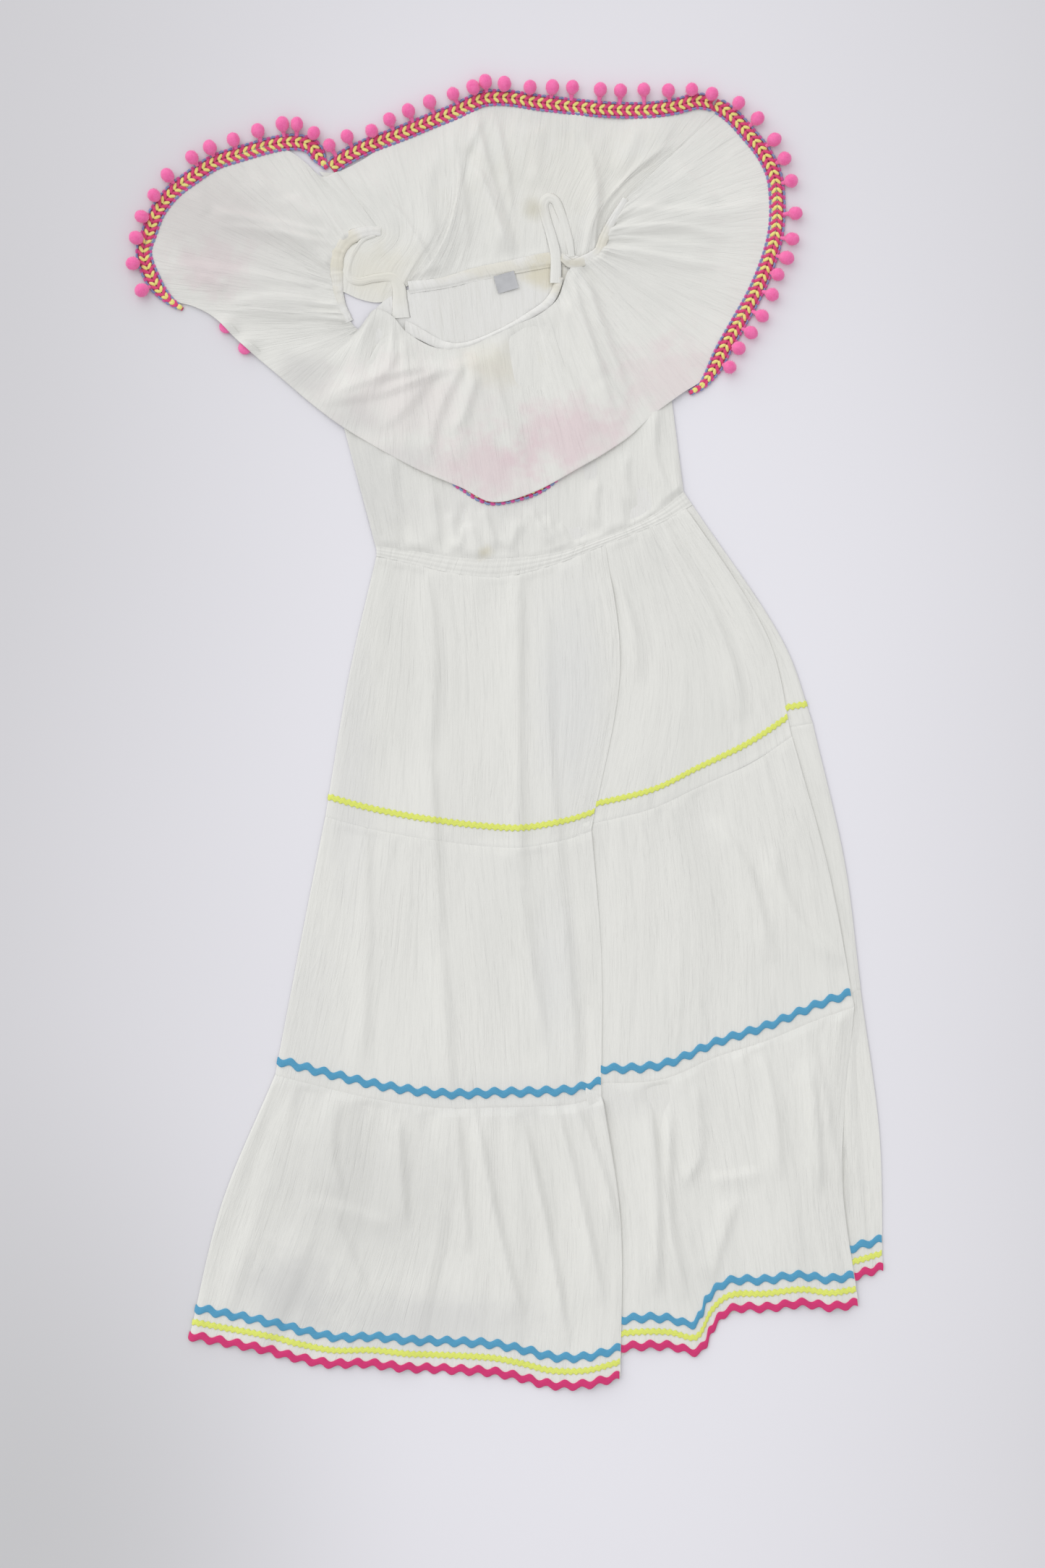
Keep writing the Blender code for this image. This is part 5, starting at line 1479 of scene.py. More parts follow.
class Band:
    """A laid band or panel between two lines across the dress."""

    def __init__(self, runs: Sequence[Run], shares: Array, step: float, height: float) -> None:
        """Lay the band out between its two lines.

        Args:
            runs: Lines across the band.
            shares: Shares down the band.
            step: Distance between columns.
            height: Height above the floor.
        """
        rows = np.array(runs, float)
        widths = np.linalg.norm(np.diff(rows[:, 2:], axis=0), axis=1)
        positions = column_positions(np.maximum(widths, 1.0), step)
        upper = flow(rows[:, :2], positions)
        self.laid = laid_flat(between(upper, flow(rows[:, 2:], positions), shares), height)
        self.shares = shares

    def crown(self, height: float) -> None:
        """Round the band up between its edges."""
        rise = np.sin(math.pi * self.shares) ** 0.8
        self.laid.points[:, :, 2] += height * rise[:, None]

    def lean(self, depth: float) -> None:
        """Lower the band's upper edge."""
        self.laid.points[:, :, 2] -= depth * (1.0 - self.shares[:, None]) ** 2

    def ruche(self, height: float, pitch: float, seed: int) -> None:
        """Gather the band over its elastic.

        Args:
            height: Height of the gathers.
            pitch: Width of one gather.
            seed: Start of the noise.
        """
        grain = Grain(seed)
        across = np.broadcast_to(self.laid.across, self.laid.down.shape)
        puckers = grain.at(across / pitch, self.laid.down / 9.0)
        fine = grain.at(across / (pitch * 0.55) + 31.0, self.laid.down / 6.0)
        self.laid.points[:, :, 2] += height * (puckers + 0.5 * fine)

    def stitch(self, share: float, depth: float, reach: float) -> None:
        """Sink a line of stitching along the band."""
        away = np.abs(self.laid.down - share * self.laid.down[-1])
        self.laid.points[:, :, 2] -= depth * np.exp(-(away / reach) ** 2)

    def roll_sides(self, reach: float) -> None:
        """Round both side folds down."""
        for column in (0, -1):
            self.laid.roll(column, reach, SIDE_HEIGHT)

    def place(self, name: str, node: str, cotton: Material,
              full: float = CRINKLE_FULLNESS) -> None:
        """Put the band in the scene."""
        self.laid.clamp(LOWEST)
        self.laid.place(name, node, cotton, "gathered", full=full)


@dataclass
class Bodice:
    """Waist casing, bodice front and back, and the neck casings."""

    cotton: Material
    worn_and_shaded: Material
    under_casing: float = 4.5
    front_length: float = 199.0
    waist_gathers: Gathers = Gathers(2.8, 36.0, 12.0)
    fine_gathers: Gathers = Gathers(1.1, 22.0, 5.0)
    casing_fullness: float = 1.25
    neck_height: float = 1.3
    neck_crown: float = 1.0
    collar_height: float = 3.0
    collar_crown: float = 1.1
    collar_lean: float = 1.4
    waist_stitches: tuple[float, float, float] = (0.2, 0.5, 0.82)

    def build(self) -> None:
        """Build the bands from the waist up."""
        waist = Band(WAIST_CASING, np.linspace(0.0, 1.0, 17), 1.5, FRONT_HEIGHT - 0.3)
        waist.laid.fold(SKIRT_CREASES)
        waist.crown(0.55)
        waist.ruche(0.22, 4.0, 31)
        for share in self.waist_stitches:
            waist.stitch(share, 0.4, 0.7)
        waist.roll_sides(4.0)
        waist.place("waist_band", "waist_casing_front", self.cotton, self.casing_fullness)
        back = Band(WAIST_CASING, np.linspace(0, 1, 5), 8.0, BACK_HEIGHT)
        back.place("waist_band_back", "waist_casing_back", self.cotton, self.casing_fullness)
        panel = [run._replace(lower_y=run.lower_y - self.under_casing) for run in BODICE_FRONT]
        front = Band(panel, row_shares(self.front_length, 3.0), 2.4, FRONT_HEIGHT)
        front.laid.fold(BODICE_CREASES)
        front.laid.hold(Edge.LOW, 7.0, self.under_casing)
        front.laid.gather(Edge.LOW, *self.waist_gathers, 32, self.under_casing)
        front.laid.gather(Edge.LOW, *self.fine_gathers, 39, self.under_casing)
        front.laid.gather(Edge.TOP, 0.5, 20.0, 6.0, 33)
        front.laid.ripple(1.1, 24.0, 150.0, 34)
        front.laid.tuck(Edge.LOW, 0.5, 3.0, 3.5)
        front.roll_sides(5.0)
        front.place("bodice", "bodice_front", self.cotton)
        lining = Band(BODICE_BACK, np.linspace(0, 1, 45), 5.0, BACK_HEIGHT + 0.1)
        lining.laid.gather(Edge.TOP, 0.7, 24.0, 8.0, 35)
        lining.laid.ripple(0.2, 24.0, 120.0, 36)
        lining.place("bodice_rear", "bodice_back", self.worn_and_shaded)
        neck = Band(NECK_CASING_BACK, np.linspace(0, 1, 15), 1.3, self.neck_height)
        neck.crown(self.neck_crown)
        neck.ruche(0.25, 4.2, 37)
        neck.stitch(0.86, 0.5, 0.6)
        neck.place("neck_band_back", "neck_casing_back", self.worn_and_shaded, self.casing_fullness)
        collar = Band(NECK_CASING_FRONT, np.linspace(0, 1, 13), 1.2, self.collar_height)
        collar.crown(self.collar_crown)
        collar.lean(self.collar_lean)
        collar.ruche(0.4, 3.4, 38)
        collar.place("neck_band", "neck_casing_front", self.worn_and_shaded, self.casing_fullness)


@dataclass
class Flounce:
    """The flounce round the neck: its front hanging down and its back flipped up."""

    cotton: Material
    tinted_and_shaded: Material
    front_rows: int = 60
    front_length: float = 170.0
    back_length: float = 150.0
    under_collar: float = 2.5
    collar_spokes: tuple[float, ...] = (12.5, 13.5, 23.0, 26.0)
    collar_calm: float = 20.0
    peek_height: float = 6.4
    peek_reach: float = 9.0
    strap_reach: float = 13.0
    fold_radius: float = 0.9
    turned_under: float = 7.0
    side_roll: float = 5.0
    side_height: float = 0.75
    edge_turns: tuple[float, ...] = (20, 45, 70, 90, 115, 145, 180)
    front_gathers: Gathers = Gathers(3.6, 65.0, 9.5)
    fine_gathers: Gathers = Gathers(2.2, 50.0, 5.5)
    back_gathers: Gathers = Gathers(3.0, 70.0, 9.0)

    def front(self) -> None:
        """Build the front, from its left lobe round to its right lobe."""
        spokes = np.array(FLOUNCE_FRONT, float)
        inner = spokes[:, [0, 1, 4]] + (0.0, 0.0, 0.35)
        outer = spokes[:, [2, 3, 5]] + (0.0, 0.0, 0.6)
        inward = inner[:, :2] - outer[:, :2]
        inner[:, :2] += inward / length_of(inward) * self.under_collar
        widths = np.linalg.norm(np.diff(0.45 * inner + 0.55 * outer, axis=0)[:, :2], axis=1)
        positions = column_positions(widths, 2.4)
        inner = flow(inner, positions)
        outer = flow(outer, positions)
        free = 1.0 - np.interp(positions, np.arange(len(spokes)), spokes[:, 6])
        outer[:, 2] = np.maximum(outer[:, 2], 2.9 * free)
        shares = np.linspace(0.0, 1.0, self.front_rows)
        plan = between(inner, outer, shares)
        rise = ease(shares * 1.3)[:, None]
        plan[:, :, 2] = inner[None, :, 2] * (1 - rise) + outer[None, :, 2] * rise
        laid = Laid(plan)
        ends = ease((np.minimum(positions, len(spokes) - 1 - positions) - 0.8) / 1.5)
        laid.mask = np.broadcast_to(ends, laid.mask.shape) * (1 - 0.9 * shares[:, None] ** 4)
        laid.hold(Edge.TOP, 5.0, self.under_collar)
        calm = np.interp(positions, self.collar_spokes, (0.0, 1.0, 1.0, 0.0))
        near = 1.0 - ease(laid.away(Edge.TOP, self.under_collar) / self.collar_calm)
        laid.mask = laid.mask * (1.0 - 0.9 * calm * near)
        laid.fold(FLOUNCE_FRONT_CREASES)
        laid.gather(Edge.TOP, *self.front_gathers, 51, self.under_collar)
        laid.gather(Edge.TOP, *self.fine_gathers, 59, self.under_collar)
        laid.ripple(1.6, 40.0, 170.0, 52)
        laid.ripple(1.1, 30.0, 55.0, 54)
        for peak in PEEKING_POMPOMS:
            far = np.hypot(laid.points[:, :, 0] - peak.x, laid.points[:, :, 1] - peak.y)
            laid.points[:, :, 2] += self.peek_height * np.exp(-(far / self.peek_reach) ** 2)
        laid.ripple(0.25, 8.0, 60.0, 53)
        sides = [np.linalg.norm(laid.points[:, :, :2] - laid.points[:, k:k + 1 or None, :2], axis=2)
                 for k in (0, -1)]
        laid.round_down(np.minimum(*sides) / self.side_roll, self.side_height)
        rows = [laid.points]
        edge = laid.points[-1]
        outward = edge[:, :2] - laid.points[-6, :, :2]
        outward = outward / length_of(outward)
        radius = np.maximum(self.fold_radius * free, 0.06)
        for turn in np.radians(self.edge_turns):
            rows.append(np.column_stack([
                edge[:, :2] + outward * (radius * math.sin(turn))[:, None],
                edge[:, 2] - radius * (1 - math.cos(turn))])[None])
        rows.append(np.column_stack([edge[:, :2] - outward * self.turned_under,
                                     edge[:, 2] - 2.0 * radius - 0.3])[None])
        whole = Laid(np.concatenate(rows, 0))
        whole.clamp(0.1)
        whole.place("flounce_drop", "flounce_front", self.tinted_and_shaded, "gathered", self.front_length,
                    rests_on=["bodice_front"])

    def back(self) -> None:
        """Build the back, flipped up above the neck."""
        ends = np.array(FLOUNCE_BACK, float).reshape(-1, 4, 2)
        shares = row_shares(self.back_length, 3.0)
        lines = flow(ends.transpose(1, 0, 2), 3.0 * shares)
        widths = np.linalg.norm(np.diff(lines[len(shares) // 2], axis=0), axis=1)
        positions = column_positions(widths, 2.3)
        laid = laid_flat(flow(lines.transpose(1, 0, 2), positions).transpose(1, 0, 2), BACK_HEIGHT)
        sides = ease((np.minimum(positions, len(ends) - 1 - positions) - 0.5) / 0.8)
        neck = ease(laid.away(Edge.TOP, 5.0) / 12.0)
        laid.mask = np.broadcast_to(sides, laid.mask.shape) * neck * (
            1 - 0.9 * shares[:, None] ** 10)
        laid.points[:, :, 2] -= (1 - sides)[None, :] * 0.55
        for strap in (STRAP_LEFT, STRAP_RIGHT):
            line = np.array(strap, float)
            near = np.abs(distance_to(line, laid.points[:, :, 0], laid.points[:, :, 1]))
            laid.mask = laid.mask * (1 - 0.75 * np.exp(-(near / self.strap_reach) ** 2))
        laid.fold(FLOUNCE_BACK_CREASES)
        laid.gather(Edge.TOP, *self.back_gathers, 55)
        laid.ripple(2.2, 30.0, 150.0, 56)
        laid.ripple(1.4, 28.0, 60.0, 58)
        laid.ripple(0.22, 8.0, 60.0, 57)
        laid.clamp(0.15)
        laid.place("flounce_rear", "flounce_back", self.cotton, "gathered", self.back_length)

    def build(self) -> None:
        """Build both halves."""
        self.back()
        self.front()


@dataclass
class Ribbon:
    """A strap or an elastic casing along its own line."""

    laces: Sequence[Lace]
    step: float
    widen: float
    thickness: float
    ruche: float
    pitch: float
    seed: int
    drop: float = 0.9
    sink: float = 0.6

    def __post_init__(self) -> None:
        """Work out the line, the widths and the ribs across it."""
        self.line = even_line(np.array(self.laces, float), self.step)
        self.widths = self.line[:, 3] * self.widen
        self.ribs = np.linspace(-1.0, 1.0, 11)
        self.marks = run_length(self.line[:, :3])

    def grid(self) -> Array:
        """Points round the ribbon: a crowned top over a flat base.

        Returns:
            Rings of points along the ribbon.
        """
        grain = Grain(self.seed)
        pucker = grain.at(self.marks[:, None] / self.pitch, self.ribs[None, :] * 0.35)
        edge = grain.at(self.marks / self.pitch, np.full(len(self.marks), 9.3))
        width = self.widths * (1 + 0.22 * self.ruche * edge)
        top = np.zeros((len(self.marks), len(self.ribs), 3))
        top[:, :, :2] = self.line[:, None, :2] + (
            side_vectors(self.line)[:, None, :]
            * (self.ribs[None, :] * width[:, None] / 2)[..., None])
        crown = np.sqrt(np.maximum(0.0, 1 - np.abs(self.ribs) ** 2.6))
        folds = 0.22 * self.thickness * np.cos(self.ribs * 7.0 + 0.8)[None, :] * grain.at(
            self.marks[:, None] / 22.0 + 5.0, self.ribs[None, :] * 0.5)
        low = self.line[:, None, 2] - 0.5 * self.thickness - self.drop
        top[:, :, 2] = low + (self.thickness + self.drop - self.sink) * crown[None, :] + (
            self.ruche * pucker * crown[None, :]) + folds * crown[None, :]
        base = top[:, ::-1].copy()
        base[:, :, 2] = low
        return np.concatenate([top, base[:, 1:-1]], 1)

    def place(self, name: str, node: str, finish: Material) -> None:
        """Make the ribbon's mesh and put it in the scene.

        Args:
            name: Name of the piece.
            node: The solid that it stands for.
            finish: Its finish.
        """
        points = self.grid()
        half = len(self.ribs)
        around = np.linspace(0.0, 2.2, points.shape[1]) * float(self.widths.mean())
        uv = np.stack(np.broadcast_arrays(around[None, :], self.marks[:, None]), -1)
        strip = Strip()
        strip.add(points, uv, closed=True, flip=True)
        for row, flip in ((0, False), (-1, True)):
            lower = np.concatenate([points[row, :1], points[row, half:][::-1],
                                    points[row, half - 1:half]])
            strip.add(np.stack([points[row, :half], lower]), flip=flip)
        add_piece(name, strip.mesh(name), [finish], [node])


@dataclass
class Straps:
    """The two narrow straps and the two elastic sleeve casings."""

    cotton: Material
    worn_and_shaded: Material

    def build(self) -> None:
        """Build both casings, then both straps over them."""
        left = Ribbon(SLEEVE_CASING_LEFT, 0.9, 1.25, 1.1, 0.4, 2.6, 61)
        left.place("sleeve_band_left", "sleeve_casing_left", self.worn_and_shaded)
        right = Ribbon(SLEEVE_CASING_RIGHT, 0.9, 1.3, 1.0, 0.35, 2.6, 62)
        right.place("sleeve_band_right", "sleeve_casing_right", self.worn_and_shaded)
        left = Ribbon(STRAP_LEFT, 1.5, 1.15, 0.8, 0.12, 6.0, 63)
        left.place("strap_tape_left", "strap_left", self.cotton)
        right = Ribbon(STRAP_RIGHT, 1.5, 1.25, 0.8, 0.12, 6.0, 64)
        right.place("strap_tape_right", "strap_right", self.cotton)


class Thread(IntEnum):
    """A colour of yarn in the braid, and its place among the braid's finishes."""

    POMPOM = 0
    YELLOW = 1
    CRIMSON = 2
    BLUE = 3
    MAGENTA = 4


@dataclass
class Braid:
    """A chevron braid with picot edges, and pompoms on its outer edge."""

    finishes: Sequence[Material]
    pitch: float = 8.0
    half_width: float = 6.5
    tape_margin: float = 0.8
    turned_share: float = 0.3

    @staticmethod
    def strand(strip: Strip, line: Array, width: float, height: float, slot: int) -> None:
        """Add one plump strand of yarn along a short line.

        Args:
            strip: The mesh that takes it.
            line: Its points.
            width: Its width.
            height: Its height.
            slot: Its colour.
        """
        sides = side_vectors(line)
        count = len(line)
        taper = np.sqrt(np.maximum(0.0, 1 - np.linspace(-0.94, 0.94, count) ** 4))
        turns = np.radians(np.arange(6) * 60.0)
        ring = np.zeros((count, 6, 3))
        ring[:, :, :2] = line[:, None, :2] + sides[:, None, :] * (
            np.cos(turns)[None, :] * taper[:, None] * width / 2)[..., None]
        ring[:, :, 2] = line[:, None, 2] + np.sin(turns)[None, :] * taper[:, None] * height / 2
        strip.add(ring, slot=slot, closed=True, flip=True)

    def narrowing(self, line: Array, turned: tuple[float, float]) -> Array:
        """Share of the braid's width that shows along it, less where it turns on edge.

        Args:
            line: The braid's centre line.
            turned: How far it is turned on edge at its start and end.

        Returns:
            A share for each point.
        """
        marks = run_length(line)
        share = np.ones(len(marks))
        for reach, away in zip(turned, (marks, marks[-1] - marks)):
            if reach:
                opened = self.turned_share + (1 - self.turned_share) * ease(away / reach)
                share = np.minimum(share, opened)
        return share

    def strands(self, strip: Strip, line: Array, height: float,
                turned: tuple[float, float]) -> None:
        """Add the chevrons and picots along the braid's centre line.

        Args:
            strip: The mesh that takes them.
            line: The braid's centre line.
            height: Height of the strands.
            turned: How far it is turned on edge at its start and end.
        """
        marks = run_length(line)
        rails = np.column_stack([line[:, :2], side_vectors(line), self.narrowing(line, turned)])
        count = max(1, round(marks[-1] / self.pitch))
        pitch = marks[-1] / count
        share = np.linspace(0.0, 1.0, 6)
        arch = 0.8 * np.sin(math.pi * np.clip(0.2 + 0.75 * share, 0, 1))
        picot = 4.9 + 1.7 * np.sin(math.pi * (0.1 + 0.75 * share))
        yarns = (
            (0.0, 4.9, 0.35 + 3.9 * share, arch + 0.25, 3.1, 1.7, Thread.YELLOW),
            (0.5, 5.8, 0.35 + 4.9 * share, arch, 3.2, 1.6, Thread.CRIMSON),
            (0.35, 4.6, picot, 0.2 + 0.3 * arch, 2.1, 1.4, Thread.BLUE),
            (0.87, 3.9, picot, 0.1 + 0.3 * arch, 2.1, 1.4, Thread.MAGENTA))
        for k in range(count):
            for hand in (-1.0, 1.0):
                for first, length, out, up, width, thickness, thread in yarns:
                    along = np.clip((k + 0.1) * pitch + first * pitch + length * share, 0.0,
                                    marks[-1])
                    x, y, side_x, side_y, shown = (np.interp(along, marks, r) for r in rails.T)
                    reach = hand * out * shown
                    places = [x + reach * side_x, y + reach * side_y, height + up]
                    self.strand(strip, np.column_stack(places), width, thickness, thread)

    def base(self, strip: Strip, line: Array, low: float, high: float,
             turned: tuple[float, float]) -> None:
        """Add the flat tape under the strands.

        Args:
            strip: The mesh that takes it.
            line: The braid's centre line.
            low: Height of its underside.
            high: Height of its top.
            turned: How far it is turned on edge at its start and end.
        """
        side = side_vectors(line) * self.narrowing(line, turned)[:, None]
        ring = []
        for out, height in ((-1, low), (-0.97, high), (0.97, high), (1, low)):
            reach = out * (self.half_width - self.tape_margin)
            ring.append(np.column_stack([line[:, :2] + side * reach,
                                         np.full(len(line), height)]))
        strip.add(np.stack(ring, 1), slot=Thread.CRIMSON, closed=True)

    def build(self, name: str, places: Sequence[Spot], pompoms: Sequence[Spot],
              nodes: Sequence[str], height: float = 0.9,
              turned: tuple[float, float] = (0.0, 0.0), seed: int = 5) -> None:
        """Build one stretch of braid with its pompoms.

        Args:
            name: Name of the piece.
            places: Points along the braid.
            pompoms: The middle of each pompom.
            nodes: The solids that it stands for.
            height: Height of the braid.
            turned: How far it is turned on edge at its start and end.
            seed: Start of the random draws.
        """
        strip = Strip()
        line = even_line(places, 1.5)
        self.base(strip, line, max(height - 0.8, 0.05), height + 0.2, turned)
        self.strands(strip, line, height + 0.35, turned)
        pompom = Pompom(seed)
        for place in pompoms:
            pompom.add(strip, place, line)
        add_piece(name, strip.mesh(name), self.finishes, nodes)

    def loose(self, name: str, places: Sequence[Spot], seed: int) -> None:
        """Build the pompoms of the hidden braid that peek out from under the flounce.

        Args:
            name: Name of the piece.
            places: The middle of each pompom.
            seed: Start of the random draws.
        """
        strip = Strip()
        for place in places:
            Pompom(seed).squashed(strip, place)
        add_piece(name, strip.mesh(name), self.finishes, ())


@dataclass
class Pompom:
    """A ball of cut yarn on a short tied stem."""

    seed: int
    radius: float = 6.1
    pressed: float = 0.42
    rings: int = 15
    sides: int = 22
    cut_ends: int = 90

    def __post_init__(self) -> None:
        """Start the pompoms' row of random draws, and the turns round their ball."""
        self.random = np.random.default_rng(self.seed)
        self.polar = np.linspace(0.0, math.pi, self.rings)[:, None]
        self.turn = np.linspace(0.0, 2 * math.pi, self.sides, endpoint=False)[None, :]

    def add(self, strip: Strip, place: Spot, line: Array) -> None:
        """Add one pompom beside a braid's centre line.

        Args:
            strip: The mesh that takes it.
            place: Its middle.
            line: The braid's centre line.
        """
        polar, turn = self.polar, self.turn
        centre = np.array([*place, self.radius + 0.2])
        foot = nearest_on(line, centre[None, :2])[0]
        out = centre[:2] - foot
        out = out / np.linalg.norm(out)
        axis = np.array([out[0], out[1], 0.0])
        side = np.array([-out[1], out[0], 0.0])
        up = np.array([0.0, 0.0, 1.0])
        grain = Grain(int(self.random.integers(1 << 20)))
        lumps = 1 + 0.035 * grain.at(polar * 2.5 + 9, np.cos(turn) * 2.5 + np.sin(turn) * 1.7)
        long = self.random.uniform(1.0, 1.14)
        radius = self.radius * lumps * self.random.uniform(0.94, 1.04)
        ball = (centre + radius[..., None] * (
            np.cos(polar)[..., None] * axis * long
            + (np.sin(polar) * np.cos(turn))[..., None] * side * 0.97
            + (np.sin(polar) * np.sin(turn))[..., None] * up))
        strip.add(ball, slot=Thread.POMPOM, closed=True)
        start = np.array([*(foot + out * 4.6), 1.3])
        end = centre - axis * self.radius * 0.72 - up * 1.8
        share = np.linspace(0.0, 1.0, 5)[:, None]
        middle = start + (end - start) * share
        wide = 1.5 + 1.3 * share ** 2
        stem = middle[:, None] + wide[..., None] * (
            np.cos(turn[:, ::3])[..., None] * side + np.sin(turn[:, ::3])[..., None] * up * 0.8)
        strip.add(stem, slot=Thread.POMPOM, closed=True, flip=True)
        self.fuzz(strip, centre)

    def squashed(self, strip: Strip, place: Spot) -> None:
        """Add one pompom that the cloth presses flat.

        Args:
            strip: The mesh that takes it.
            place: Its middle.
        """
        ball = np.stack(np.broadcast_arrays(
            np.sin(self.polar) * np.cos(self.turn), np.sin(self.polar) * np.sin(self.turn),
            np.cos(self.polar) * self.pressed), -1) * self.radius
        ball = ball + np.array([*place, self.radius * self.pressed + 0.2])
        strip.add(ball, slot=Thread.POMPOM, closed=True)

    def fuzz(self, strip: Strip, centre: Array) -> None:
        """Add short cut ends that stand out all round.

        Args:
            strip: The mesh that takes them.
            centre: The pompom's middle.
        """
        aim = self.random.normal(size=(self.cut_ends, 3))
        aim = aim / length_of(aim)
        cross = np.cross(aim, [0.31, 0.52, 0.79])
        cross = cross / length_of(cross)
        root = centre + aim * (self.radius - 0.5)
        tip = centre + aim * (self.radius + self.random.uniform(0.15, 0.75, (self.cut_ends, 1)))
        tip = tip + cross * self.random.uniform(-0.5, 0.5, (self.cut_ends, 1))
        blades = np.stack([root - cross * 0.16, root + cross * 0.16, tip + cross * 0.05,
                           tip - cross * 0.05], 1)
        strip.put(blades, np.arange(self.cut_ends * 4).reshape(-1, 4), Thread.POMPOM)


@dataclass
class Label:
    """The plain satin label inside the back of the neck."""

    centre: Spot = Spot(0.5, 404.0)
    width: float = 19.0
    length: float = 16.0
    tilt: float = math.radians(16.0)
    height: float = 2.1

    def build(self) -> None:
        """Build the label with its folded ends and softly curled corners."""
        right = np.array([math.cos(self.tilt), math.sin(self.tilt)])
        up = np.array([-right[1], right[0]])
        across = np.linspace(-0.5, 0.5, 24)
        down = np.linspace(0.5, -0.5, 20)
        grid = (np.array(self.centre) + (across * self.width)[None, :, None] * right
                + (down * self.length)[:, None, None] * up)
        curl = 0.9 * (np.abs(across)[None, :] * 2) ** 3 * (0.5 - down)[:, None]
        hem = 0.18 * (np.abs(down)[:, None] > 0.42) + 0.12 * (np.abs(across)[None, :] > 0.45)
        tall = self.height + curl + hem + 0.25 * np.sin(across * 7 + 1)[None, :]
        points = np.concatenate([grid, tall[..., None]], 2)
        uv = np.stack(np.broadcast_arrays(across[None, :] * self.width,
                                          down[:, None] * self.length), -1)
        piece = add_piece("plain_label", grid_mesh("label", points, uv), [Satin().make()],
                          ["neck_label"])


@dataclass
class Studio:
    """Floor, light and a camera that looks straight down."""

    distance: float = 2.2
    picture_height: float = 1.41
    aim: Spot = Spot(15.9, -45.5)
    floor_size: float = 6.0
    sun_strength: float = 1.25
    sun_width: float = math.radians(80.0)
    sun_tilt: float = math.radians(-55.0)
    sun_turn: float = math.radians(38.0)
    room_strength: float = 0.72

    def build(self) -> None:
        """Put the studio in the scene."""
        scene = bpy.context.scene
        bpy.ops.mesh.primitive_plane_add(size=self.floor_size, location=(0.0, 0.0, -0.0004))
        floor = bpy.context.object
        floor.name = "floor"
        floor.data.materials.append(PaperFloor().make())
        floor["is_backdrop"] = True
        sun = bpy.data.lights.new("window", "SUN")
        sun.energy = self.sun_strength
        sun.angle = self.sun_width
        holder = bpy.data.objects.new("window", sun)
        holder.rotation_euler = (self.sun_tilt, 0.0, self.sun_turn)
        scene.collection.objects.link(holder)
        world = bpy.data.worlds.new("studio")
        scene.world = world
        world.use_nodes = True
        back = world.node_tree.nodes["Background"]
        back.inputs["Color"].default_value = (1.0, 1.0, 1.02, 1.0)
        back.inputs["Strength"].default_value = self.room_strength
        scene.view_settings.view_transform = "Standard"
        camera = bpy.data.cameras.new("camera")
        camera.sensor_fit = "VERTICAL"
        camera.sensor_height = 24.0
        camera.lens = camera.sensor_height * self.distance / self.picture_height
        camera.clip_end = 20.0
        holder = bpy.data.objects.new("camera", camera)
        holder.location = (self.aim.x * MM, self.aim.y * MM, self.distance)
        scene.collection.objects.link(holder)
        scene.camera = holder


YELLOW_TAPE = WovenTape("yellow_tape", srgb(238, 246, 128), srgb(226, 236, 96))
BLUE_TAPE = WovenTape("blue_tape", srgb(96, 172, 208), srgb(76, 150, 192))
PINK_TAPE = WovenTape("pink_tape", srgb(228, 66, 128), srgb(206, 46, 108))
PINK_TINT = srgb(224, 190, 200)
CREAM_TINT = srgb(216, 209, 182)

PEEKING_POMPOMS = (Spot(-251.0, 364.0), Spot(-234.0, 345.0))

# Pink and cream stains; the grey rows are painted shade, over the left lobe and along the front flounce's
# lower left edge.
FLOUNCE_STAINS_AND_SHADE = tuple(StainAndShadePatch(*row) for row in (
    (60, 265, 70, 40, PINK_TINT, 0.45), (-15, 235, 60, 35, PINK_TINT, 0.4),
    (-265, 418, 40, 30, PINK_TINT, 0.4), (150, 320, 60, 45, PINK_TINT, 0.25),
    (-8, 330, 40, 26, CREAM_TINT, 0.3, 0.2), (-90, 300, 90, 50, PINK_TINT, 0.12),
    (-240, 440, 95, 90, (0.66, 0.64, 0.62), 0.4, 0.1), (-268, 464, 75, 55, (0.6, 0.56, 0.55), 0.4, 0.1),
    (-180, 322, 34, 26, (0.55, 0.54, 0.53), 0.45, 0.1), (-138, 282, 38, 20, (0.58, 0.57, 0.56), 0.4, 0.1),
    (-92, 244, 40, 18, (0.6, 0.57, 0.57), 0.35, 0.1),
))
# Cream stains of worn cloth; the dark yellowish row at (61, 421) is painted shade in the fold where the
# right sleeve casing meets the flounce.
WORN_STAINS_AND_SHADE = tuple(StainAndShadePatch(*row) for row in (
    (-146, 426, 34, 40, CREAM_TINT, 0.5), (-10, 416, 110, 12, CREAM_TINT, 0.3),
    (38, 414, 22, 24, CREAM_TINT, 0.6), (61, 421, 15, 6, (0.6, 0.57, 0.46), 0.6, 0.1),
    (86, 440, 14, 20, CREAM_TINT, 0.4),
))
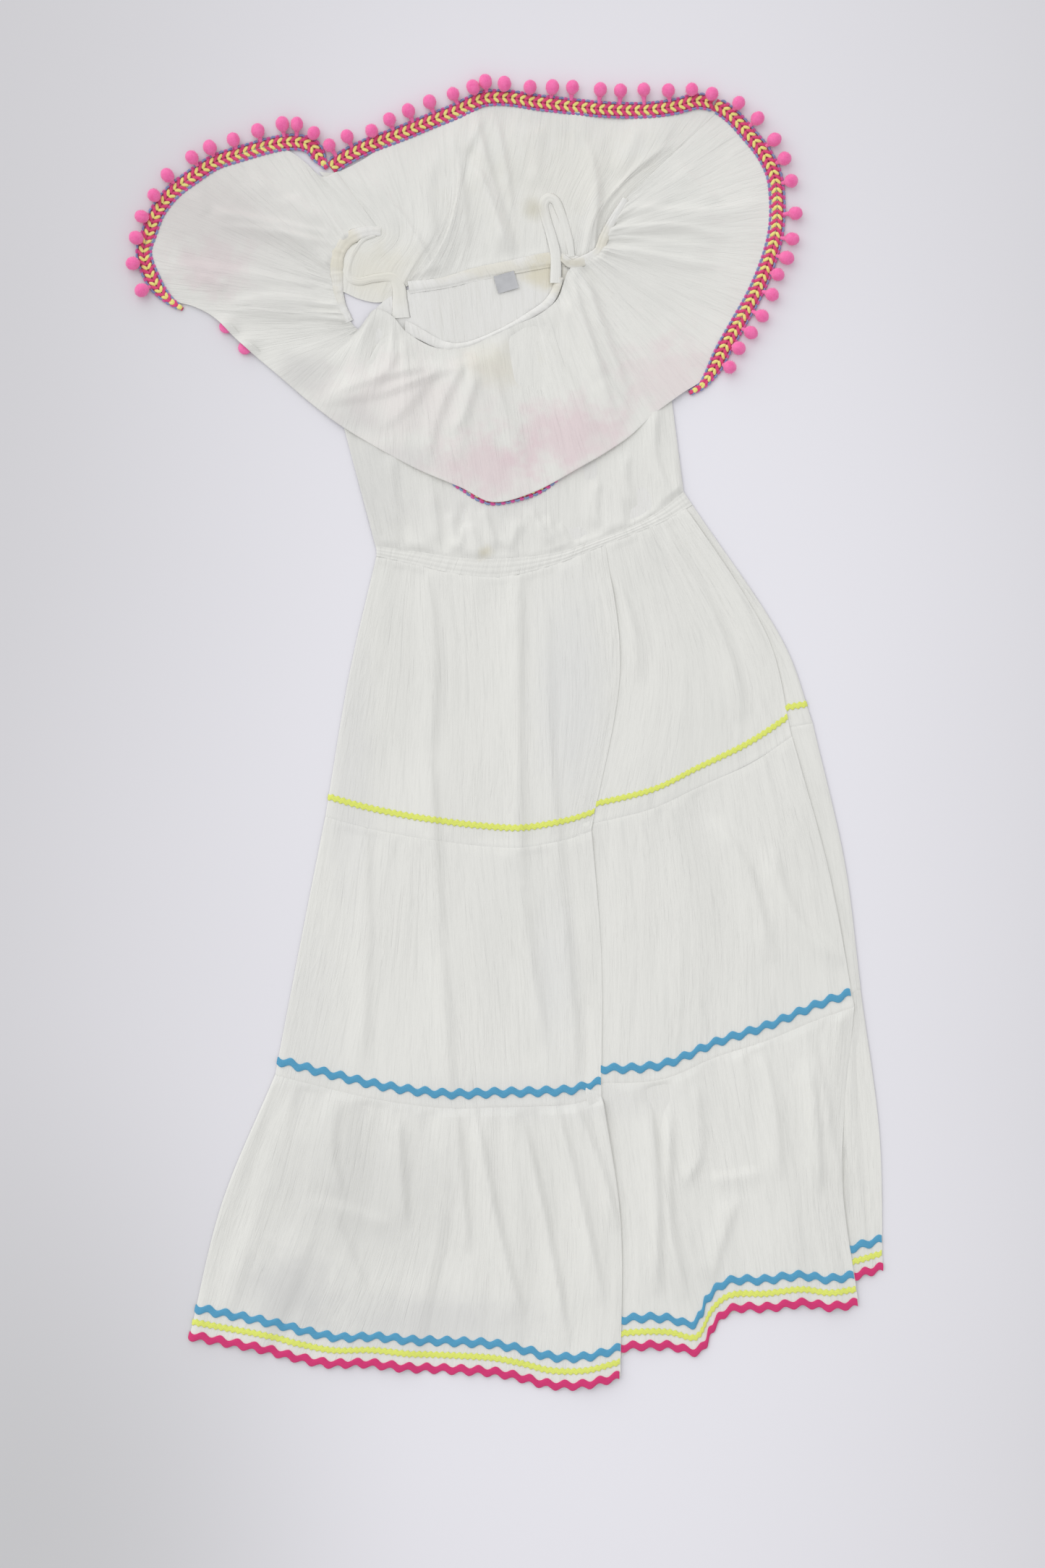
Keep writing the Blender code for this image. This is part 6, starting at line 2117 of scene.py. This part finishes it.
# Cream and beige stains; the grey rows are painted shade: in the skirt's folded trough band, down its
# left side, along the lower tier seam, above the hem at the left, and on the bodice beside and under the
# flounce.
BODY_STAINS_AND_SHADE = tuple(StainAndShadePatch(*row) for row in (
    (56, 34, 44, 125, (0.72, 0.725, 0.715), 0.5, 0.1), (44, -215, 26, 90, (0.73, 0.735, 0.72), 0.4, 0.1),
    (-130, -415, 125, 90, (0.66, 0.66, 0.63), 0.55, 0.1), (-19, 161, 10, 8, CREAM_TINT, 0.6),
    (-118, 412, 44, 40, CREAM_TINT, 0.28, 0.2), (60, 500, 120, 60, CREAM_TINT, 0.08),
    (25, 470, 12, 13, (0.62, 0.6, 0.5), 0.75, 0.1), (-122, 228, 40, 75, (0.62, 0.62, 0.6), 0.45, 0.1),
    (-40, 205, 90, 30, (0.68, 0.67, 0.65), 0.3, 0.1), (-140, -20, 28, 170, (0.68, 0.68, 0.67), 0.4, 0.1),
    (-180, -250, 40, 120, (0.7, 0.7, 0.68), 0.35, 0.1), (20, -330, 170, 26, (0.7, 0.7, 0.68), 0.4, 0.1),
    (-195, -505, 60, 50, (0.58, 0.58, 0.57), 0.6, 0.1),
    (-70, -530, 130, 34, (0.62, 0.62, 0.61), 0.5, 0.1),
))


def main() -> None:
    """Build the dress piece by piece over its solids."""
    logging.basicConfig(level=logging.INFO, format="%(message)s")
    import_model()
    solids_box = [list(map(float, corner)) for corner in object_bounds()]
    Studio().build()
    # Each cotton finish carries its stains and its patches of painted shade.
    cotton = CrinkledCotton("crinkled_cotton", BODY_STAINS_AND_SHADE).make()
    tinted_and_shaded = CrinkledCotton("flounce_cotton", FLOUNCE_STAINS_AND_SHADE).make()
    worn_and_shaded = CrinkledCotton("worn_and_shaded_cotton", WORN_STAINS_AND_SHADE, (0.80, 0.797, 0.768),
                          (0.71, 0.705, 0.66)).make()
    Skirt(cotton).build()
    Bodice(cotton, worn_and_shaded).build()
    Flounce(cotton, tinted_and_shaded).build()
    Straps(cotton, worn_and_shaded).build()
    Label().build()
    yarns = [
        Yarn("pompom_pink", srgb(250, 124, 182), srgb(242, 104, 168)).make(),
        Yarn("yarn_yellow", srgb(248, 240, 150), srgb(236, 226, 116), 1800.0).make(),
        Yarn("yarn_crimson", srgb(236, 84, 136), srgb(216, 58, 112), 1800.0).make(),
        Yarn("yarn_blue", srgb(146, 160, 202), srgb(112, 128, 176), 1800.0).make(),
        Yarn("yarn_magenta", srgb(226, 100, 172), srgb(204, 72, 150), 1800.0).make(),
    ]
    braid = Braid(yarns)
    for side, places, pompoms, turned, seed in (
            ("left", BRAID_LEFT, POMPOMS_LEFT, (42.0, 16.0), 71),
            ("back", BRAID_BACK, POMPOMS_BACK, (0.0, 0.0), 72),
            ("right", BRAID_RIGHT, POMPOMS_RIGHT, (0.0, 42.0), 73)):
        braid.build(f"braid_{side}", places, pompoms,
                    [f"pompom_braid_{side}_{k}" for k in (1, 2, 3)], turned=turned, seed=seed)
    braid.build("braid_tucked", [Spot(p.x, p.y + 0.8) for p in BRAID_FRONT], (),
                ["pompom_braid_front_1"], height=2.6, turned=(8.0, 60.0))
    braid.loose("pompoms_beneath", PEEKING_POMPOMS, 74)
    looks_box = [list(map(float, corner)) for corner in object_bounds()]
    for before, after in zip(solids_box, looks_box):
        logging.info("box %s looks %s", np.round(before, 4), np.round(after, 4))


if __name__ == "__main__":
    main()
